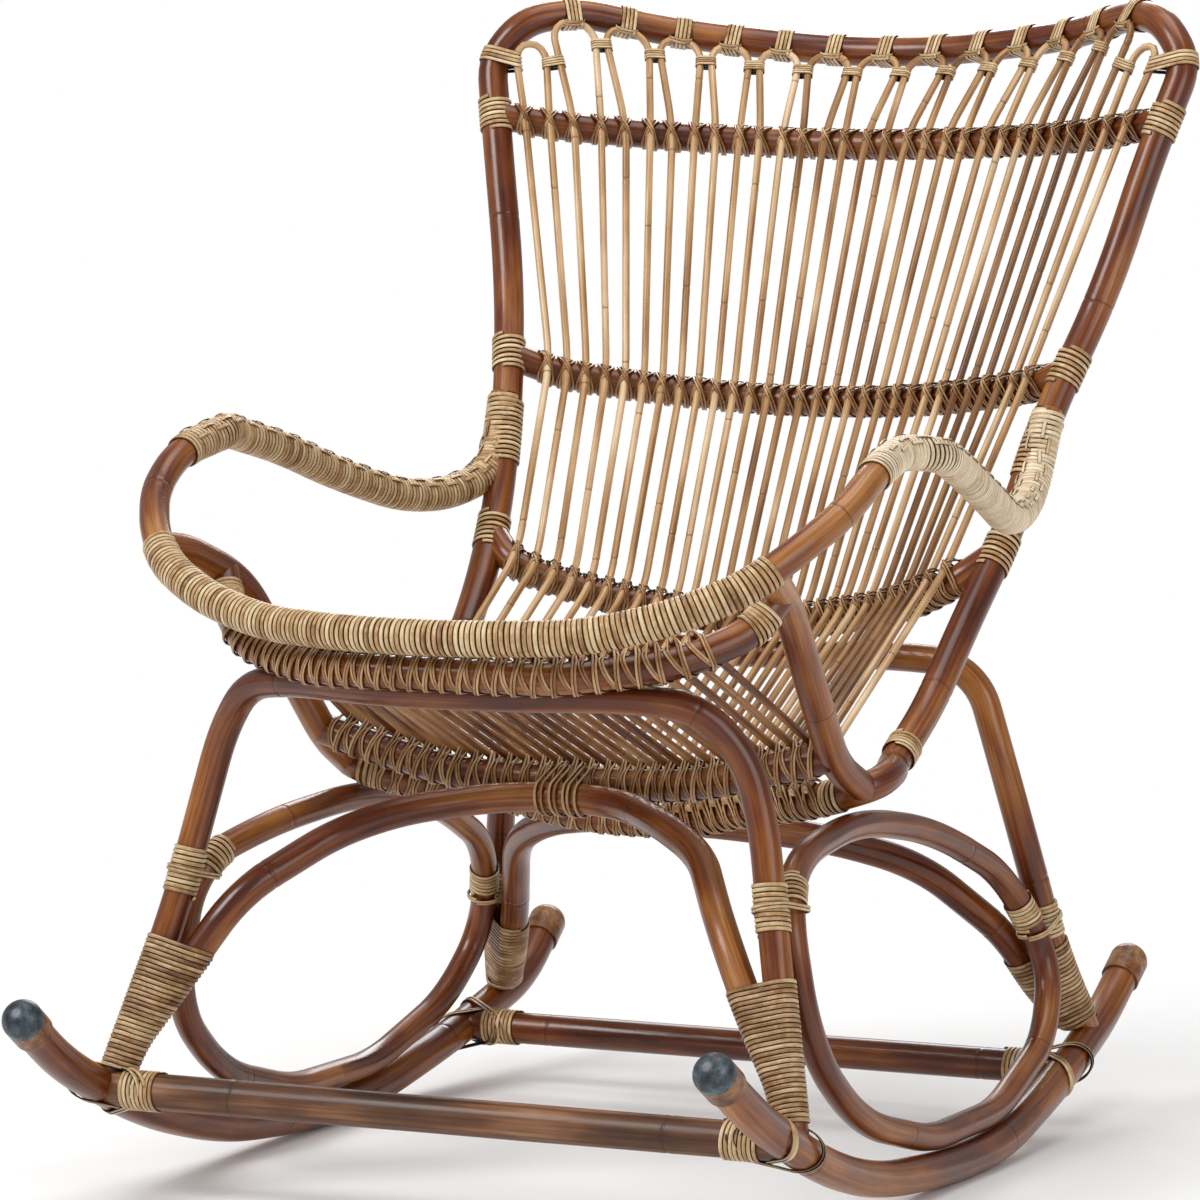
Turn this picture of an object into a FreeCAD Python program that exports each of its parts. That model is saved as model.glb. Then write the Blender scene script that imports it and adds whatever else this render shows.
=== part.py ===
import FreeCAD, Part
import math
import os

# Rocking chair of bent rattan poles, nailed and lashed with split cane.
# X runs across the chair, Y from the front to the back, Z up. Millimetres.
# The tables of shares give the bends of each pole, as shares of the three overall
# sizes, for the half with positive X.

Vector = FreeCAD.Vector

# Overall sizes
half_spacing = 300.0        # middle of the chair to the middle of a rocker's front tip
rocker_reach = 900.0        # front tips of the rockers to about their rear tips
frame_height = 950.0        # floor to about the top corners of the back

# Pole radii
rocker_radius = 15.0
leg_radius = 12.5
ring_radius = 11.5
hoop_radius = 13.5
bottom_rail_radius = 13.0
back_rail_radius = 12.5
seat_rail_radius = 13.0
side_rail_radius = 13.0
arm_radius = 12.4
front_stretcher_radius = 14.8
rear_stretcher_radius = 14.0
rod_radius = 3.3

# Cane and fits
fit_gap = 0.3               # between two poles that touch
cane_radius = 1.1           # half thickness of a lashing strand
cane_pitch = 3.9            # from one turn of a lashing to the next
cane_clearance = 0.5        # between a lashing and the poles that it binds
tie_clearance = 0.45        # between a tie and the rod and rail that it binds
tie_pitch = 3.0             # from one turn of a tie to the next
arch_clearance = 1.5        # between the ties of a rail and the arch that lies against it
ring_clearance = 1.4        # between a side ring and the lashings of the leg that it leans on
rod_gap = 0.55              # between a rod and the rail that it lies on
end_gap = 0.6               # between the two ends of a tie or of a side ring
sleeve_wall = 2.1           # thickness of the cane wrapping of the arms and the front edge

# Tip caps of the rockers
cap_wall = 1.4
cap_length = 24.0
cap_dome_share = 0.75       # height of the dome as a share of the cap's radius

# Nails of the frame
nail_radius = 1.6
nail_head_radius = 3.6
nail_head_height = 1.4
nail_length = 44.0

# Rods
rod_overhang = 9.0          # from the middle of an end rail to a rod's end
loop_count = 15
seat_rod_count = 30
rod_bend_reach = 26.0       # how far the bend at a rail reaches along a rod
pair_tie_drop = 15.0        # from a hairpin's corner down to the tie of two neighbours
shoulder_drop = 12.0        # from a hairpin's corner down to where its leg bends inwards
crown_share = 0.5           # straight part of a hairpin's top, as a share of its width

# Turns of the lashings
front_leg_turns = 19
rear_leg_turns = 15
ring_front_turns = 9
ring_rear_turns = 7
arm_joint_turns = 13
post_band_turns = 7
stretcher_turns = 8
splice_turns = 5
foot_turns = 4
corner_turns = 6
tie_turns = 2
pair_tie_turns = 3
post_tie_turns = 4

# Along a brace or an arm, from its end to the nearest turn of the lashing that binds it
front_brace_margin = 8.0
rear_brace_margin = 14.0
arm_margin = 9.0

# How far each bend of a pole reaches into the shorter run beside it
bend_share = 0.46

# Middle lines are measured at points this far apart
sample_step = 2.0
touch_halvings = 14

# Bends of the poles, as shares of half_spacing, rocker_reach and frame_height
rocker_shares = (
    (0.993, -0.003, 0.156), (1.007, 0.074, 0.107), (1.003, 0.217, 0.047), (0.980, 0.352, 0.013),
    (0.980, 0.508, 0), (0.983, 0.641, 0), (0.957, 0.807, 0.032), (0.930, 0.944, 0.070),
    (0.940, 1.010, 0.115))
ring_rest_shares = ((0.967, 0.644), (0.973, 0.481))
ring_front_shares = ((0.957, 0.329, 0.080), (0.940, 0.232, 0.155), (0.873, 0.233, 0.276))
ring_top_shares = ((0.790, 0.333, 0.313), (0.750, 0.489, 0.324), (0.773, 0.649, 0.298))
ring_rear_shares = ((0.817, 0.783, 0.233), (0.900, 0.832, 0.148), (0.943, 0.779, 0.086))
front_leg_shares = (
    (0.883, 0.206, 0.239), (0.823, 0.227, 0.335), (0.770, 0.229, 0.393), (0.660, 0.209, 0.436),
    (0.480, 0.183, 0.443))
front_brace_shares = (
    (0.954, 0.171, 0.132), (0.823, 0.194, 0.195), (0.707, 0.220, 0.256), (0.543, 0.301, 0.301),
    (0.387, 0.334, 0.320))
rear_leg_shares = ((0.883, 0.859, 0.156), (0.807, 0.817, 0.295), (0.693, 0.812, 0.418), (0.413, 0.817, 0.422))
rear_brace_shares = (
    (0.897, 0.886, 0.093), (0.840, 0.859, 0.123), (0.773, 0.824, 0.175), (0.630, 0.728, 0.246),
    (0.430, 0.660, 0.274))
hoop_shares = (
    (0.758, 0.584, 0.364), (0.750, 0.656, 0.397), (0.763, 0.730, 0.462), (0.803, 0.806, 0.540),
    (0.853, 0.864, 0.643), (0.947, 0.929, 0.749), (1.036, 0.965, 0.868), (1.109, 0.999, 0.952),
    (1.023, 1.015, 0.989), (0.898, 1.049, 0.997), (0.619, 1.110, 0.975), (0.167, 1.146, 0.960))
bottom_rail_shares = (
    (0.813, 0.518, 0.353), (0.810, 0.486, 0.346), (0.747, 0.468, 0.339), (0.600, 0.484, 0.326),
    (0.367, 0.533, 0.312), (0.150, 0.556, 0.294))
arm_shares = (
    (0.847, 0.828, 0.575), (0.890, 0.759, 0.557), (0.937, 0.686, 0.560), (0.997, 0.590, 0.586),
    (1.030, 0.499, 0.615), (1.067, 0.423, 0.633), (1.000, 0.382, 0.637), (1.027, 0.306, 0.623),
    (1.013, 0.251, 0.594), (0.933, 0.202, 0.563), (0.843, 0.171, 0.537), (0.680, 0.141, 0.514),
    (0.463, 0.118, 0.497), (0.160, 0.094, 0.494))
front_rail_shares = ((0.770, 0.239, 0.495), (0.637, 0.189, 0.472), (0.357, 0.133, 0.460))
rear_rail_shares = ((0.377, 0.416, 0.345), (0.160, 0.432, 0.340))
upper_rail_shares = ((0.870, 1.001, 0.889), (0.600, 1.052, 0.880), (0.200, 1.079, 0.874))
middle_rail_shares = ((0.750, 0.907, 0.661), (0.470, 0.945, 0.647), (0.160, 0.966, 0.639))
lower_rail_shares = ((0.687, 0.761, 0.494), (0.493, 0.800, 0.467), (0.160, 0.841, 0.446))
side_rail_shares = ((0.853, 0.211, 0.547), (0.807, 0.284, 0.518), (0.767, 0.423, 0.368))

# Joints, as shares of rocker_reach for a depth and of frame_height for a height
front_foot_share = 0.155
rear_foot_share = 0.905
front_stretcher_share = 0.145
rear_stretcher_share = 0.831
upper_joint_share = 0.900
middle_joint_share = 0.679
lower_joint_share = 0.521
arm_joint_share = 0.645
front_rail_joint_share = 0.526
rear_rail_joint_share = 0.376
end_loop_tie_share = 0.953

# Hairpins: where two of them meet at the top rail, as shares of half_spacing, and the inner and
# the outer corner of an end loop
loop_edge_shares = (0.084, 0.249, 0.401, 0.550, 0.702, 0.845, 0.982)
end_loop_shares = ((0.944, 1.010, 0.967), (1.030, 0.997, 0.967))
upper_spread_share = 0.9    # of the way from the corner's spacing to the even spacing, at the upper rail

# The turns of each lashing on a leg or a post that aren't beside an end, as shares of frame_height
front_leg_lashing_top_share = 0.216
rear_leg_lashing_top_share = 0.166
ring_front_lashing_shares = (0.254, 0.291)
ring_rear_lashing_shares = (0.173, 0.203)
arm_joint_wrap_low_share = 0.582

# Runs of the arm pole, counted from its left end, between which it is wrapped in cane
front_edge_runs = (10, 18)
right_arm_runs = (21, 27)

# Directions in degrees from +Y towards +Z in which one pole lies against another
front_rail_direction = -58
front_leg_direction = -38
front_brace_direction = 200
rear_leg_direction = -90
rear_brace_direction = -6
loop_direction = 198
tie_slant = 25


def place(share):
    """The point that three shares of the overall sizes give."""
    return Vector(share[0] * half_spacing, share[1] * rocker_reach, share[2] * frame_height)


def mirror(point):
    return Vector(-point.x, point.y, point.z)


def unit(vector):
    return vector * (1 / vector.Length)


def square_to(vector, axis):
    """The part of a vector that is square to a unit axis, as a unit vector."""
    return unit(vector - axis * vector.dot(axis))


def arc_edge(start, tangent, end):
    """The edge that leaves start along a unit tangent and ends at end."""
    chord = end - start
    across = tangent.cross(chord)
    if across.Length < 1e-4 * chord.Length:
        return Part.makeLine(start, end)
    inward = unit(across.cross(tangent))
    centre = start + inward * (chord.dot(chord) / (2 * chord.dot(inward)))
    radius = (start - centre).Length
    outward = (start - centre) + (end - centre)
    if outward.Length < 1e-6 * radius:
        outward = tangent
    elif chord.dot(tangent) < 0:
        outward = outward * -1
    return Part.Arc(start, centre + unit(outward) * radius, end).toShape()


def biarc(start, leaving, end, arriving):
    """Two arcs from start to end, with the given unit tangents at both."""
    chord = end - start
    both = leaving + arriving
    square = 2 * (1 - leaving.dot(arriving))
    along = chord.dot(both)
    if square < 1e-9:
        reach = chord.dot(chord) / (4 * chord.dot(arriving))
    else:
        reach = (math.sqrt(along * along + square * chord.dot(chord)) - along) / square
    joint = (start + end + (leaving - arriving) * reach) / 2
    first = arc_edge(start, leaving, joint)
    second = arc_edge(end, arriving * -1, joint)
    return [first, second]


class Pole:
    """A round pole along straight runs joined by tangent arcs."""

    def __init__(self, points, radius, reaches=None):
        self.radius = radius
        self.edges = []
        here = points[0]
        for i, corner in enumerate(points[1:-1]):
            arriving = corner - points[i]
            leaving = points[i + 2] - corner
            bend = reaches[i] if reaches else bend_share * min(arriving.Length, leaving.Length)
            start = corner - unit(arriving) * bend
            end = corner + unit(leaving) * bend
            self.edges.append(Part.makeLine(here, start))
            self.edges.append(arc_edge(start, unit(arriving), end))
            here = end
        self.edges.append(Part.makeLine(here, points[-1]))
        self.wire = Part.Wire(self.edges)
        self.samples = self.wire.discretize(Distance=sample_step)

    def tube(self, extra=0, first=0, last=None):
        """The pole as a solid, thicker by extra, or only the stretch between two of its runs."""
        edges = self.edges[2 * first:None if last is None else 2 * last + 1]
        start = edges[0].valueAt(edges[0].FirstParameter)
        heading = unit(edges[0].tangentAt(edges[0].FirstParameter))
        profile = Part.Wire(Part.makeCircle(self.radius + extra, start, heading))
        return Part.Wire(edges).makePipeShell([profile], True, False)

    def gap_to(self, other):
        return self.wire.distToShape(other.wire)[0] - self.radius - other.radius

    def crossing(self, point, normal, near=None):
        """Where the middle line passes through a plane, and its direction there."""
        near = near or point
        best = None
        for a, b in zip(self.samples, self.samples[1:]):
            before = (a - point).dot(normal)
            after = (b - point).dot(normal)
            if before * after <= 0 and before != after:
                hit = a + (b - a) * (before / (before - after))
                if best is None or (hit - near).Length < (best[0] - near).Length:
                    best = (hit, unit(b - a))
        return best

    def at_height(self, height, near):
        return self.crossing(Vector(near.x, near.y, height), Vector(0, 0, 1))[0]

    def at_depth(self, depth, near):
        return self.crossing(Vector(near.x, depth, near.z), Vector(0, 1, 0))[0]

    def at_side(self, side, near):
        return self.crossing(Vector(side, near.y, near.z), Vector(1, 0, 0))[0]


def both_halves(points):
    """The bends of a pole that is the same on both sides, from one end to the other."""
    return [mirror(p) for p in points] + points[::-1]


def beside(point, degrees, distance):
    """A point at a distance in the YZ plane, in a direction from +Y towards +Z."""
    turn = math.radians(degrees)
    return point + Vector(0, math.cos(turn), math.sin(turn)) * distance


def biggest(shape):
    return max(shape.Solids, key=lambda solid: solid.Volume)


def coped(tube, poles, extra=0):
    """A tube cut to fit round other poles with the usual gap, keeping its main piece."""
    for pole in poles:
        tube = biggest(tube.cut(pole.tube(fit_gap + extra)))
    return tube


def flipped(solid):
    """The same solid on the other side of the chair."""
    return solid.mirror(Vector(0, 0, 0), Vector(1, 0, 0))


# Rockers
rocker_points = [place(s) + Vector(0, 0, rocker_radius) for s in rocker_shares]
rocker = Pole(rocker_points, rocker_radius)
front_foot = rocker.at_depth(front_foot_share * rocker_reach, rocker_points[1])
rear_foot = rocker.at_depth(rear_foot_share * rocker_reach, rocker_points[-2])

# Arms and front edge of the seat
arm_half = [place(s) for s in arm_shares]
edge_middle = arm_half[-1]

# Back hoop, and the bottom rail that is spliced to its feet
hoop_half = [place(s) for s in hoop_shares]
hoop = Pole(both_halves(hoop_half), hoop_radius)
splice_heading = unit(hoop_half[0] - hoop_half[1])
splice_start = hoop_half[0] + splice_heading * fit_gap
bottom_rail_half = [splice_start, splice_start + splice_heading * 2 * bottom_rail_radius]
bottom_rail_half += [place(s) for s in bottom_rail_shares]
bottom_rail = Pole(both_halves(bottom_rail_half), bottom_rail_radius)
bottom_corner = (bottom_rail_half[3] + bottom_rail_half[4]) / 2


def post_point(height_share):
    return hoop.at_height(height_share * frame_height, Vector(half_spacing, rocker_reach, 0))


def cross_rail(joint_share, shares):
    return Pole(both_halves([post_point(joint_share)] + [place(s) for s in shares]), back_rail_radius)


upper_rail = cross_rail(upper_joint_share, upper_rail_shares)
middle_rail = cross_rail(middle_joint_share, middle_rail_shares)
lower_rail = cross_rail(lower_joint_share, lower_rail_shares)

# The arms end on the front of the posts
arm_end = post_point(arm_joint_share) - Vector(0, hoop_radius / 2, 0)
arm = Pole(both_halves([arm_end] + arm_half), arm_radius)

# Seat frame
edge_corner = (arm_half[9] + arm_half[10]) / 2
side_rail_points = [edge_corner] + [place(s) for s in side_rail_shares] + [bottom_corner]
side_rail = Pole(side_rail_points, side_rail_radius)
front_rail_middle = beside(
    edge_middle, front_rail_direction,
    arm_radius + sleeve_wall + 2 * rod_radius + seat_rail_radius + 4 * fit_gap)
front_rail_end = side_rail.at_height(front_rail_joint_share * frame_height, side_rail_points[1])
front_rail_half = [front_rail_end] + [place(s) for s in front_rail_shares] + [front_rail_middle]
front_rail = Pole(both_halves(front_rail_half), seat_rail_radius)
rear_rail_end = side_rail.at_height(rear_rail_joint_share * frame_height, side_rail_points[-1])
rear_rail_half = [rear_rail_end] + [place(s) for s in rear_rail_shares]
rear_rail = Pole(both_halves(rear_rail_half), seat_rail_radius)

# Arches under the seat, each lying against the ties of a rail in the middle
tie_depth = 2 * cane_radius + tie_clearance + arch_clearance
touching = seat_rail_radius + leg_radius + tie_depth
front_leg_half = [front_foot] + [place(s) for s in front_leg_shares]
front_leg_half += [beside(front_rail_middle, front_leg_direction, touching)]
front_leg = Pole(both_halves(front_leg_half), leg_radius)
front_brace_half = [place(s) for s in front_brace_shares]
front_brace_half += [beside(rear_rail_half[-1], front_brace_direction, touching)]
front_brace = Pole(both_halves(front_brace_half), leg_radius)
rear_leg_half = [rear_foot] + [place(s) for s in rear_leg_shares]
rear_leg_half += [beside(place(lower_rail_shares[-1]), rear_leg_direction,
                         back_rail_radius + leg_radius + tie_depth)]
rear_leg = Pole(both_halves(rear_leg_half), leg_radius)
rear_brace_half = [place(s) for s in rear_brace_shares]
rear_brace_half += [beside(bottom_rail_half[-1], rear_brace_direction,
                           bottom_rail_radius + leg_radius + tie_depth)]
rear_brace = Pole(both_halves(rear_brace_half), leg_radius)

# Side rings: each stands on its rocker, carries the back frame's corner and leans on both legs
ring_rest_height = 2 * rocker_radius + ring_radius + fit_gap


def ring_with(lift=0, drop=0, front_shift=0, rear_shift=0):
    """A side ring with its bottom run lifted, its top dropped and its ends shifted along Y."""
    rest = [Vector(s[0] * half_spacing, s[1] * rocker_reach, ring_rest_height + lift)
            for s in ring_rest_shares]
    seam = (rest[0] + rest[1]) / 2
    points = [seam + unit(rest[1] - rest[0]) * end_gap, rest[1]]
    points += [place(s) + Vector(0, front_shift, 0) for s in ring_front_shares]
    points += [place(s) - Vector(0, 0, drop) for s in ring_top_shares]
    points += [place(s) + Vector(0, rear_shift, 0) for s in ring_rear_shares]
    return Pole(points + [rest[0], seam], ring_radius)


def slid_to_touch(build, other, close, far, extra=0):
    """The shift between close and far at which a pole just clears another one."""
    for halving in range(touch_halvings):
        middle = (close + far) / 2
        if build(middle).gap_to(other) > fit_gap + extra:
            far = middle
        else:
            close = middle
    return far


slide = 2 * ring_radius
band_depth = cane_clearance + 2 * cane_radius
lift = slid_to_touch(lambda s: ring_with(s), rocker, -slide, slide)
drop = slid_to_touch(lambda s: ring_with(lift, s), bottom_rail, -slide, slide, band_depth)
leg_standoff = band_depth + ring_clearance
front_shift = slid_to_touch(lambda s: ring_with(lift, drop, s), front_leg, -slide, slide, leg_standoff)
rear_shift = slid_to_touch(
    lambda s: ring_with(lift, drop, front_shift, -s), rear_leg, -slide, slide, leg_standoff)
ring = ring_with(lift, drop, front_shift, -rear_shift)

# Stretchers, from the middle of one rocker to the middle of the other
rocker_left = Pole([mirror(p) for p in rocker_points], rocker_radius)
front_stretcher_end = rocker.at_depth(front_stretcher_share * rocker_reach, rocker_points[1])
rear_stretcher_end = rocker.at_depth(rear_stretcher_share * rocker_reach, rocker_points[-2])
front_stretcher = Pole([mirror(front_stretcher_end), front_stretcher_end], front_stretcher_radius)
rear_stretcher = Pole([mirror(rear_stretcher_end), rear_stretcher_end], rear_stretcher_radius)

# Solids of the poles, with their ends cut to fit round what they meet
parts = {}
rockers = [rocker, rocker_left]
side_rail_left = Pole([mirror(p) for p in side_rail_points], side_rail_radius)
side_rails = [side_rail, side_rail_left]
parts["rocker_right"] = [rocker.tube()]
parts["front_leg_arch"] = [coped(front_leg.tube(), rockers)]
parts["rear_leg_arch"] = [coped(rear_leg.tube(), rockers)]
parts["front_brace_arch"] = [coped(front_brace.tube(), [front_leg])]
parts["rear_brace_arch"] = [coped(rear_brace.tube(), [rear_leg])]
parts["side_ring_right"] = [ring.tube()]
parts["front_stretcher"] = [coped(front_stretcher.tube(), rockers + [front_leg])]
parts["rear_stretcher"] = [coped(rear_stretcher.tube(), rockers + [rear_leg])]
parts["back_frame_hoop"] = [hoop.tube()]
parts["back_bottom_rail"] = [bottom_rail.tube()]
parts["upper_back_rail"] = [coped(upper_rail.tube(), [hoop], band_depth)]
parts["middle_back_rail"] = [coped(middle_rail.tube(), [hoop], band_depth)]
parts["lower_back_rail"] = [coped(lower_rail.tube(), [hoop], band_depth)]
parts["arm_and_front_pole"] = [coped(arm.tube(), [hoop])]
side_rail_solid = coped(side_rail.tube(), [arm], sleeve_wall)
parts["seat_side_rail_right"] = [coped(side_rail_solid, [bottom_rail], band_depth)]
parts["seat_front_rail"] = [coped(front_rail.tube(), side_rails)]
parts["seat_rear_rail"] = [coped(rear_rail.tube(), side_rails)]


# Cane wrapping of the front edge and the arms, as sleeves between two runs of the arm pole
def sleeve(runs):
    return biggest(arm.tube(sleeve_wall, runs[0], runs[1]).cut(arm.tube(fit_gap)))


parts["front_edge_wrap"] = [sleeve(front_edge_runs)]
parts["arm_wrap_right"] = [sleeve(right_arm_runs)]


# Tip caps
def tip_cap(end, outward):
    """A cup with a domed end over the end of a rocker."""
    bore = rocker_radius + fit_gap
    outer = bore + cap_wall
    dome = cap_dome_share * outer
    corners = [Vector(0, 0, -cap_length), Vector(outer, 0, -cap_length), Vector(outer, 0, 0),
               Vector(cap_wall, 0, dome), Vector(0, 0, dome)]
    middle = Vector(outer, 0, dome) * math.sqrt(1 / 2)
    edges = [Part.makeLine(corners[0], corners[1]), Part.makeLine(corners[1], corners[2]),
             Part.Arc(corners[2], middle, corners[3]).toShape(),
             Part.makeLine(corners[3], corners[4]), Part.makeLine(corners[4], corners[0])]
    solid = Part.Face(Part.Wire(edges)).revolve(Vector(0, 0, 0), Vector(0, 0, 1), 360)
    cup = solid.cut(Part.makeCylinder(bore, cap_length + fit_gap, Vector(0, 0, -cap_length)))
    cup.Placement = FreeCAD.Placement(end, FreeCAD.Rotation(Vector(0, 0, 1), outward))
    return biggest(cup)


parts["front_tip_cap_right"] = [tip_cap(rocker_points[0], unit(rocker_points[0] - rocker_points[1]))]
parts["rear_tip_cap_right"] = [tip_cap(rocker_points[-1], unit(rocker_points[-1] - rocker_points[-2]))]


# Rods
def post_inside(height):
    """How far from the middle a rod can run beside the post at a height."""
    post = hoop.at_height(height, Vector(half_spacing, rocker_reach, height))
    return post.x - hoop_radius - 2 * rod_radius


tie_places = []


def lean(rail, middle, before, after, rod_side):
    """The middle of a rod that lies on a rail, on the side that rod_side points to.

    The rod's way there is from one point to another. The place is noted for its tie.
    """
    along = rail.crossing(middle, Vector(1, 0, 0))[1]
    outward = unit(unit(after - before).cross(along))
    if outward.dot(rod_side) < 0:
        outward = outward * -1
    tie_places.append((rail, middle, outward, along, square_to(after - before, outward)))
    return middle + outward * (rail.radius + rod_radius + rod_gap)


rail_levels = [bottom_rail, lower_rail, middle_rail, upper_rail]
rail_middles = [rail.at_side(0, place((0, 1, share))) for rail, share in
                zip(rail_levels, (0, lower_joint_share, middle_joint_share, upper_joint_share))]
rail_reaches = [bottom_rail_half[4].x - foot_turns * cane_pitch - bottom_rail_radius]
rail_reaches += [post_inside(middle.z) for middle in rail_middles[1:]]
top_middle = hoop.at_side(0, place((0, 1, 1)))
front_side = Vector(0, -1, 1)
last_loop = loop_count // 2
loop_edges = [-share * half_spacing for share in reversed(loop_edge_shares)]
loop_edges += [share * half_spacing for share in loop_edge_shares]


def top_rail_at(side):
    """The middle of the top rail at a distance from the chair's middle, and its direction."""
    return hoop.crossing(Vector(side, top_middle.y, top_middle.z), Vector(1, 0, 0))


def loop_corner(index, hand):
    """The corner of a hairpin: in front of the top rail, or beside the post for an end loop."""
    if abs(index) == last_loop:
        corner = place(end_loop_shares[0 if index * hand < 0 else 1])
        return corner if index > 0 else mirror(corner)
    middle, along = top_rail_at(loop_edges[index + last_loop + (hand - 1) // 2])
    outward = square_to(beside(Vector(0, 0, 0), loop_direction, 1), along)
    inward = along * -hand * (rod_radius + tie_clearance)
    return middle + inward + outward * (hoop_radius + rod_radius + fit_gap)


def hairpin_leg(index, hand):
    """Bends of one leg of a hairpin rod, from its foot to its corner under the top rail."""
    even = (2 * index + hand / 2) / (loop_count - 1 / 2)
    corner = loop_corner(index, hand)
    sides = [even * rail_reach for rail_reach in rail_reaches]
    sides[-1] = corner.x + (sides[-1] - corner.x) * upper_spread_share
    middles = [rail.at_side(side, middle) for rail, side, middle in zip(rail_levels, sides, rail_middles)]
    middles.append(corner)
    points = [lean(rail_levels[0], middles[0], middles[0], middles[1], front_side)]
    points += [lean(rail_levels[i], middles[i], middles[i - 1], middles[i + 1], front_side)
               for i in range(1, len(rail_levels))]
    points.append(corner)
    heading = unit(points[1] - points[0])
    return [points[0] - heading * rod_overhang] + bent_on(points)[1:]


def bent_on(points):
    """Moves each inner bend outwards so that its arc, not its corner, passes through the point."""
    moved = [points[0]]
    for before, point, after in zip(points, points[1:], points[2:]):
        arriving = unit(point - before)
        leaving = unit(after - point)
        rise = rod_bend_reach * math.tan(arriving.getAngle(leaving) / 4)
        moved.append(point - unit(leaving - arriving) * rise)
    return moved + [points[-1]]


def hairpin(left, right):
    """A hairpin rod from the bends of its two legs, with its top corners rounded off twice."""
    inset = (right[-1] - left[-1]) * ((1 - crown_share) / 2)
    shoulders = [leg[-1] + unit(leg[-2] - leg[-1]) * shoulder_drop for leg in (left, right)]
    crown = [left[-1] + inset, right[-1] - inset]
    top = [shoulders[0], crown[0], crown[1], shoulders[1]]
    runs = [(b - a).Length for a, b in zip(top, top[1:])]
    top_reaches = [bend_share * runs[0], bend_share * min(runs[:2]),
                   bend_share * min(runs[1:]), bend_share * runs[2]]
    bends = [rod_bend_reach] * (len(left) - 2)
    return Pole(left[:-1] + top + right[-2::-1], rod_radius, bends + top_reaches + bends)


loop_indices = range(-last_loop, last_loop + 1)
left_legs = [hairpin_leg(index, -1) for index in loop_indices]
right_legs = [hairpin_leg(index, 1) for index in loop_indices]
hairpins = [hairpin(*legs) for legs in zip(left_legs, right_legs)]
parts["back_spindles"] = [rod.tube() for rod in hairpins]
seat_up = Vector(0, 0, 1)


def seat_rod(share):
    """A rod from the front rail to the seat rear rail, at a share of the seat's half width."""
    front_reach = front_rail_half[1].x - 2 * seat_rail_radius
    rear_reach = rear_rail_half[0].x - side_rail_radius - 2 * rod_radius
    front = front_rail.at_side(share * front_reach, front_rail_middle)
    rear = rear_rail.at_side(share * rear_reach, rear_rail_half[-1])
    ends = [lean(front_rail, front, front, rear, seat_up), lean(rear_rail, rear, front, rear, seat_up)]
    heading = unit(ends[1] - ends[0]) * rod_overhang
    return Pole([ends[0] - heading, ends[1] + heading], rod_radius)


rod_shares = [(2 * i + 1 - seat_rod_count) / (seat_rod_count - 1) for i in range(seat_rod_count)]
parts["seat_rods"] = [seat_rod(share).tube() for share in rod_shares]


# Ties of the rods to the rails: one strand round the rail and over the rod, on a slant
def slant_hand(rail):
    """Which way the ties slant on the right half of a rail, so that most are nearer to square to it."""
    slack = sum(rod_way.dot(along) * outward.cross(rod_way).dot(along)
                for other, middle, outward, along, rod_way in tie_places if other is rail and middle.x > 0)
    return -math.copysign(1, slack)


def tie(rail, middle, outward, along, rod_way, hand):
    """A strand all round rail and rod, on a slant to the rod."""
    turn = math.radians(tie_slant) * hand
    across = rod_way * math.cos(turn) + outward.cross(rod_way) * math.sin(turn)
    margin = cane_radius + tie_clearance
    wide = rail.radius / math.sin(across.getAngle(along)) + margin
    low = rail.radius + margin
    high = rail.radius + 2 * rod_gap + 2 * rod_radius + margin
    corners = [(wide, high), (-wide, high), (-wide, -low), (wide, -low)]
    corners = [middle + across * side + outward * height for side, height in corners]
    seam = (corners[0] + corners[-1]) / 2
    bend = bend_share * 2 * rail.radius
    return Pole([seam + outward * end_gap] + corners + [seam], cane_radius, [bend] * len(corners))


# The slant changes hands in the middle, where one rod of the pair has no tie, nor has the last rod
rail_ties = []
for rail, middle, outward, along, rod_way in tie_places:
    sides = [other[1].x for other in tie_places if other[0] is rail]
    inner_left = max(side for side in sides if side < 0)
    if abs(middle.x) < max(sides) - rod_radius and middle.x != inner_left:
        hand = slant_hand(rail) * math.copysign(1, middle.x)
        rail_ties.append(tie(rail, middle, outward, along, rod_way, hand))
parts["rail_cross_ties"] = [strand.tube() for strand in rail_ties]


# Lashings
least_gaps = []


def winding(name, stations):
    """One unbroken strand through stations, each a point with a unit direction."""
    first, way = stations[0]
    last, last_way = stations[-1]
    edges = [Part.makeLine(first - way * 2 * cane_radius, first)]
    for (start, leaving), (end, arriving) in zip(stations, stations[1:]):
        edges += biarc(start, leaving, end, arriving)
    edges.append(Part.makeLine(last, last + last_way * 2 * cane_radius))
    wire = Part.Wire(edges)
    profile = Part.Wire(Part.makeCircle(cane_radius, edges[0].Vertexes[0].Point, way))
    samples = wire.discretize(Distance=cane_radius)
    turn = len(samples) * 4 // len(stations)
    least = min((samples[i] - samples[j]).Length for i in range(len(samples))
                for j in range(i + turn // 2, min(len(samples), i + turn * 3 // 2)))
    least_gaps.append((round(least - 2 * cane_radius, 2), name))
    return wire.makePipeShell([profile], True, False)


def band(name, pole, start, end, turns):
    """A winding round one pole, between two points beside it."""
    axis = unit(end - start)
    step = (end - start) / (2 * turns)
    rise = step.Length / (math.pi * (pole.radius + cane_radius + cane_clearance))
    upright = square_to(Vector(0, 0, 1) if abs(axis.z) < abs(axis.x) else Vector(1, 0, 0), axis)
    round_way = axis.cross(upright)
    stations = []
    for i in range(2 * turns + 1):
        hand = 1 if i % 2 == 0 else -1
        middle, way = pole.crossing(start + step * i, axis)
        reach = pole.radius / abs(way.dot(axis)) + cane_radius + cane_clearance
        stations.append((middle + upright * reach * hand, unit(round_way * hand + axis * rise)))
    return winding(name, stations)


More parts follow.
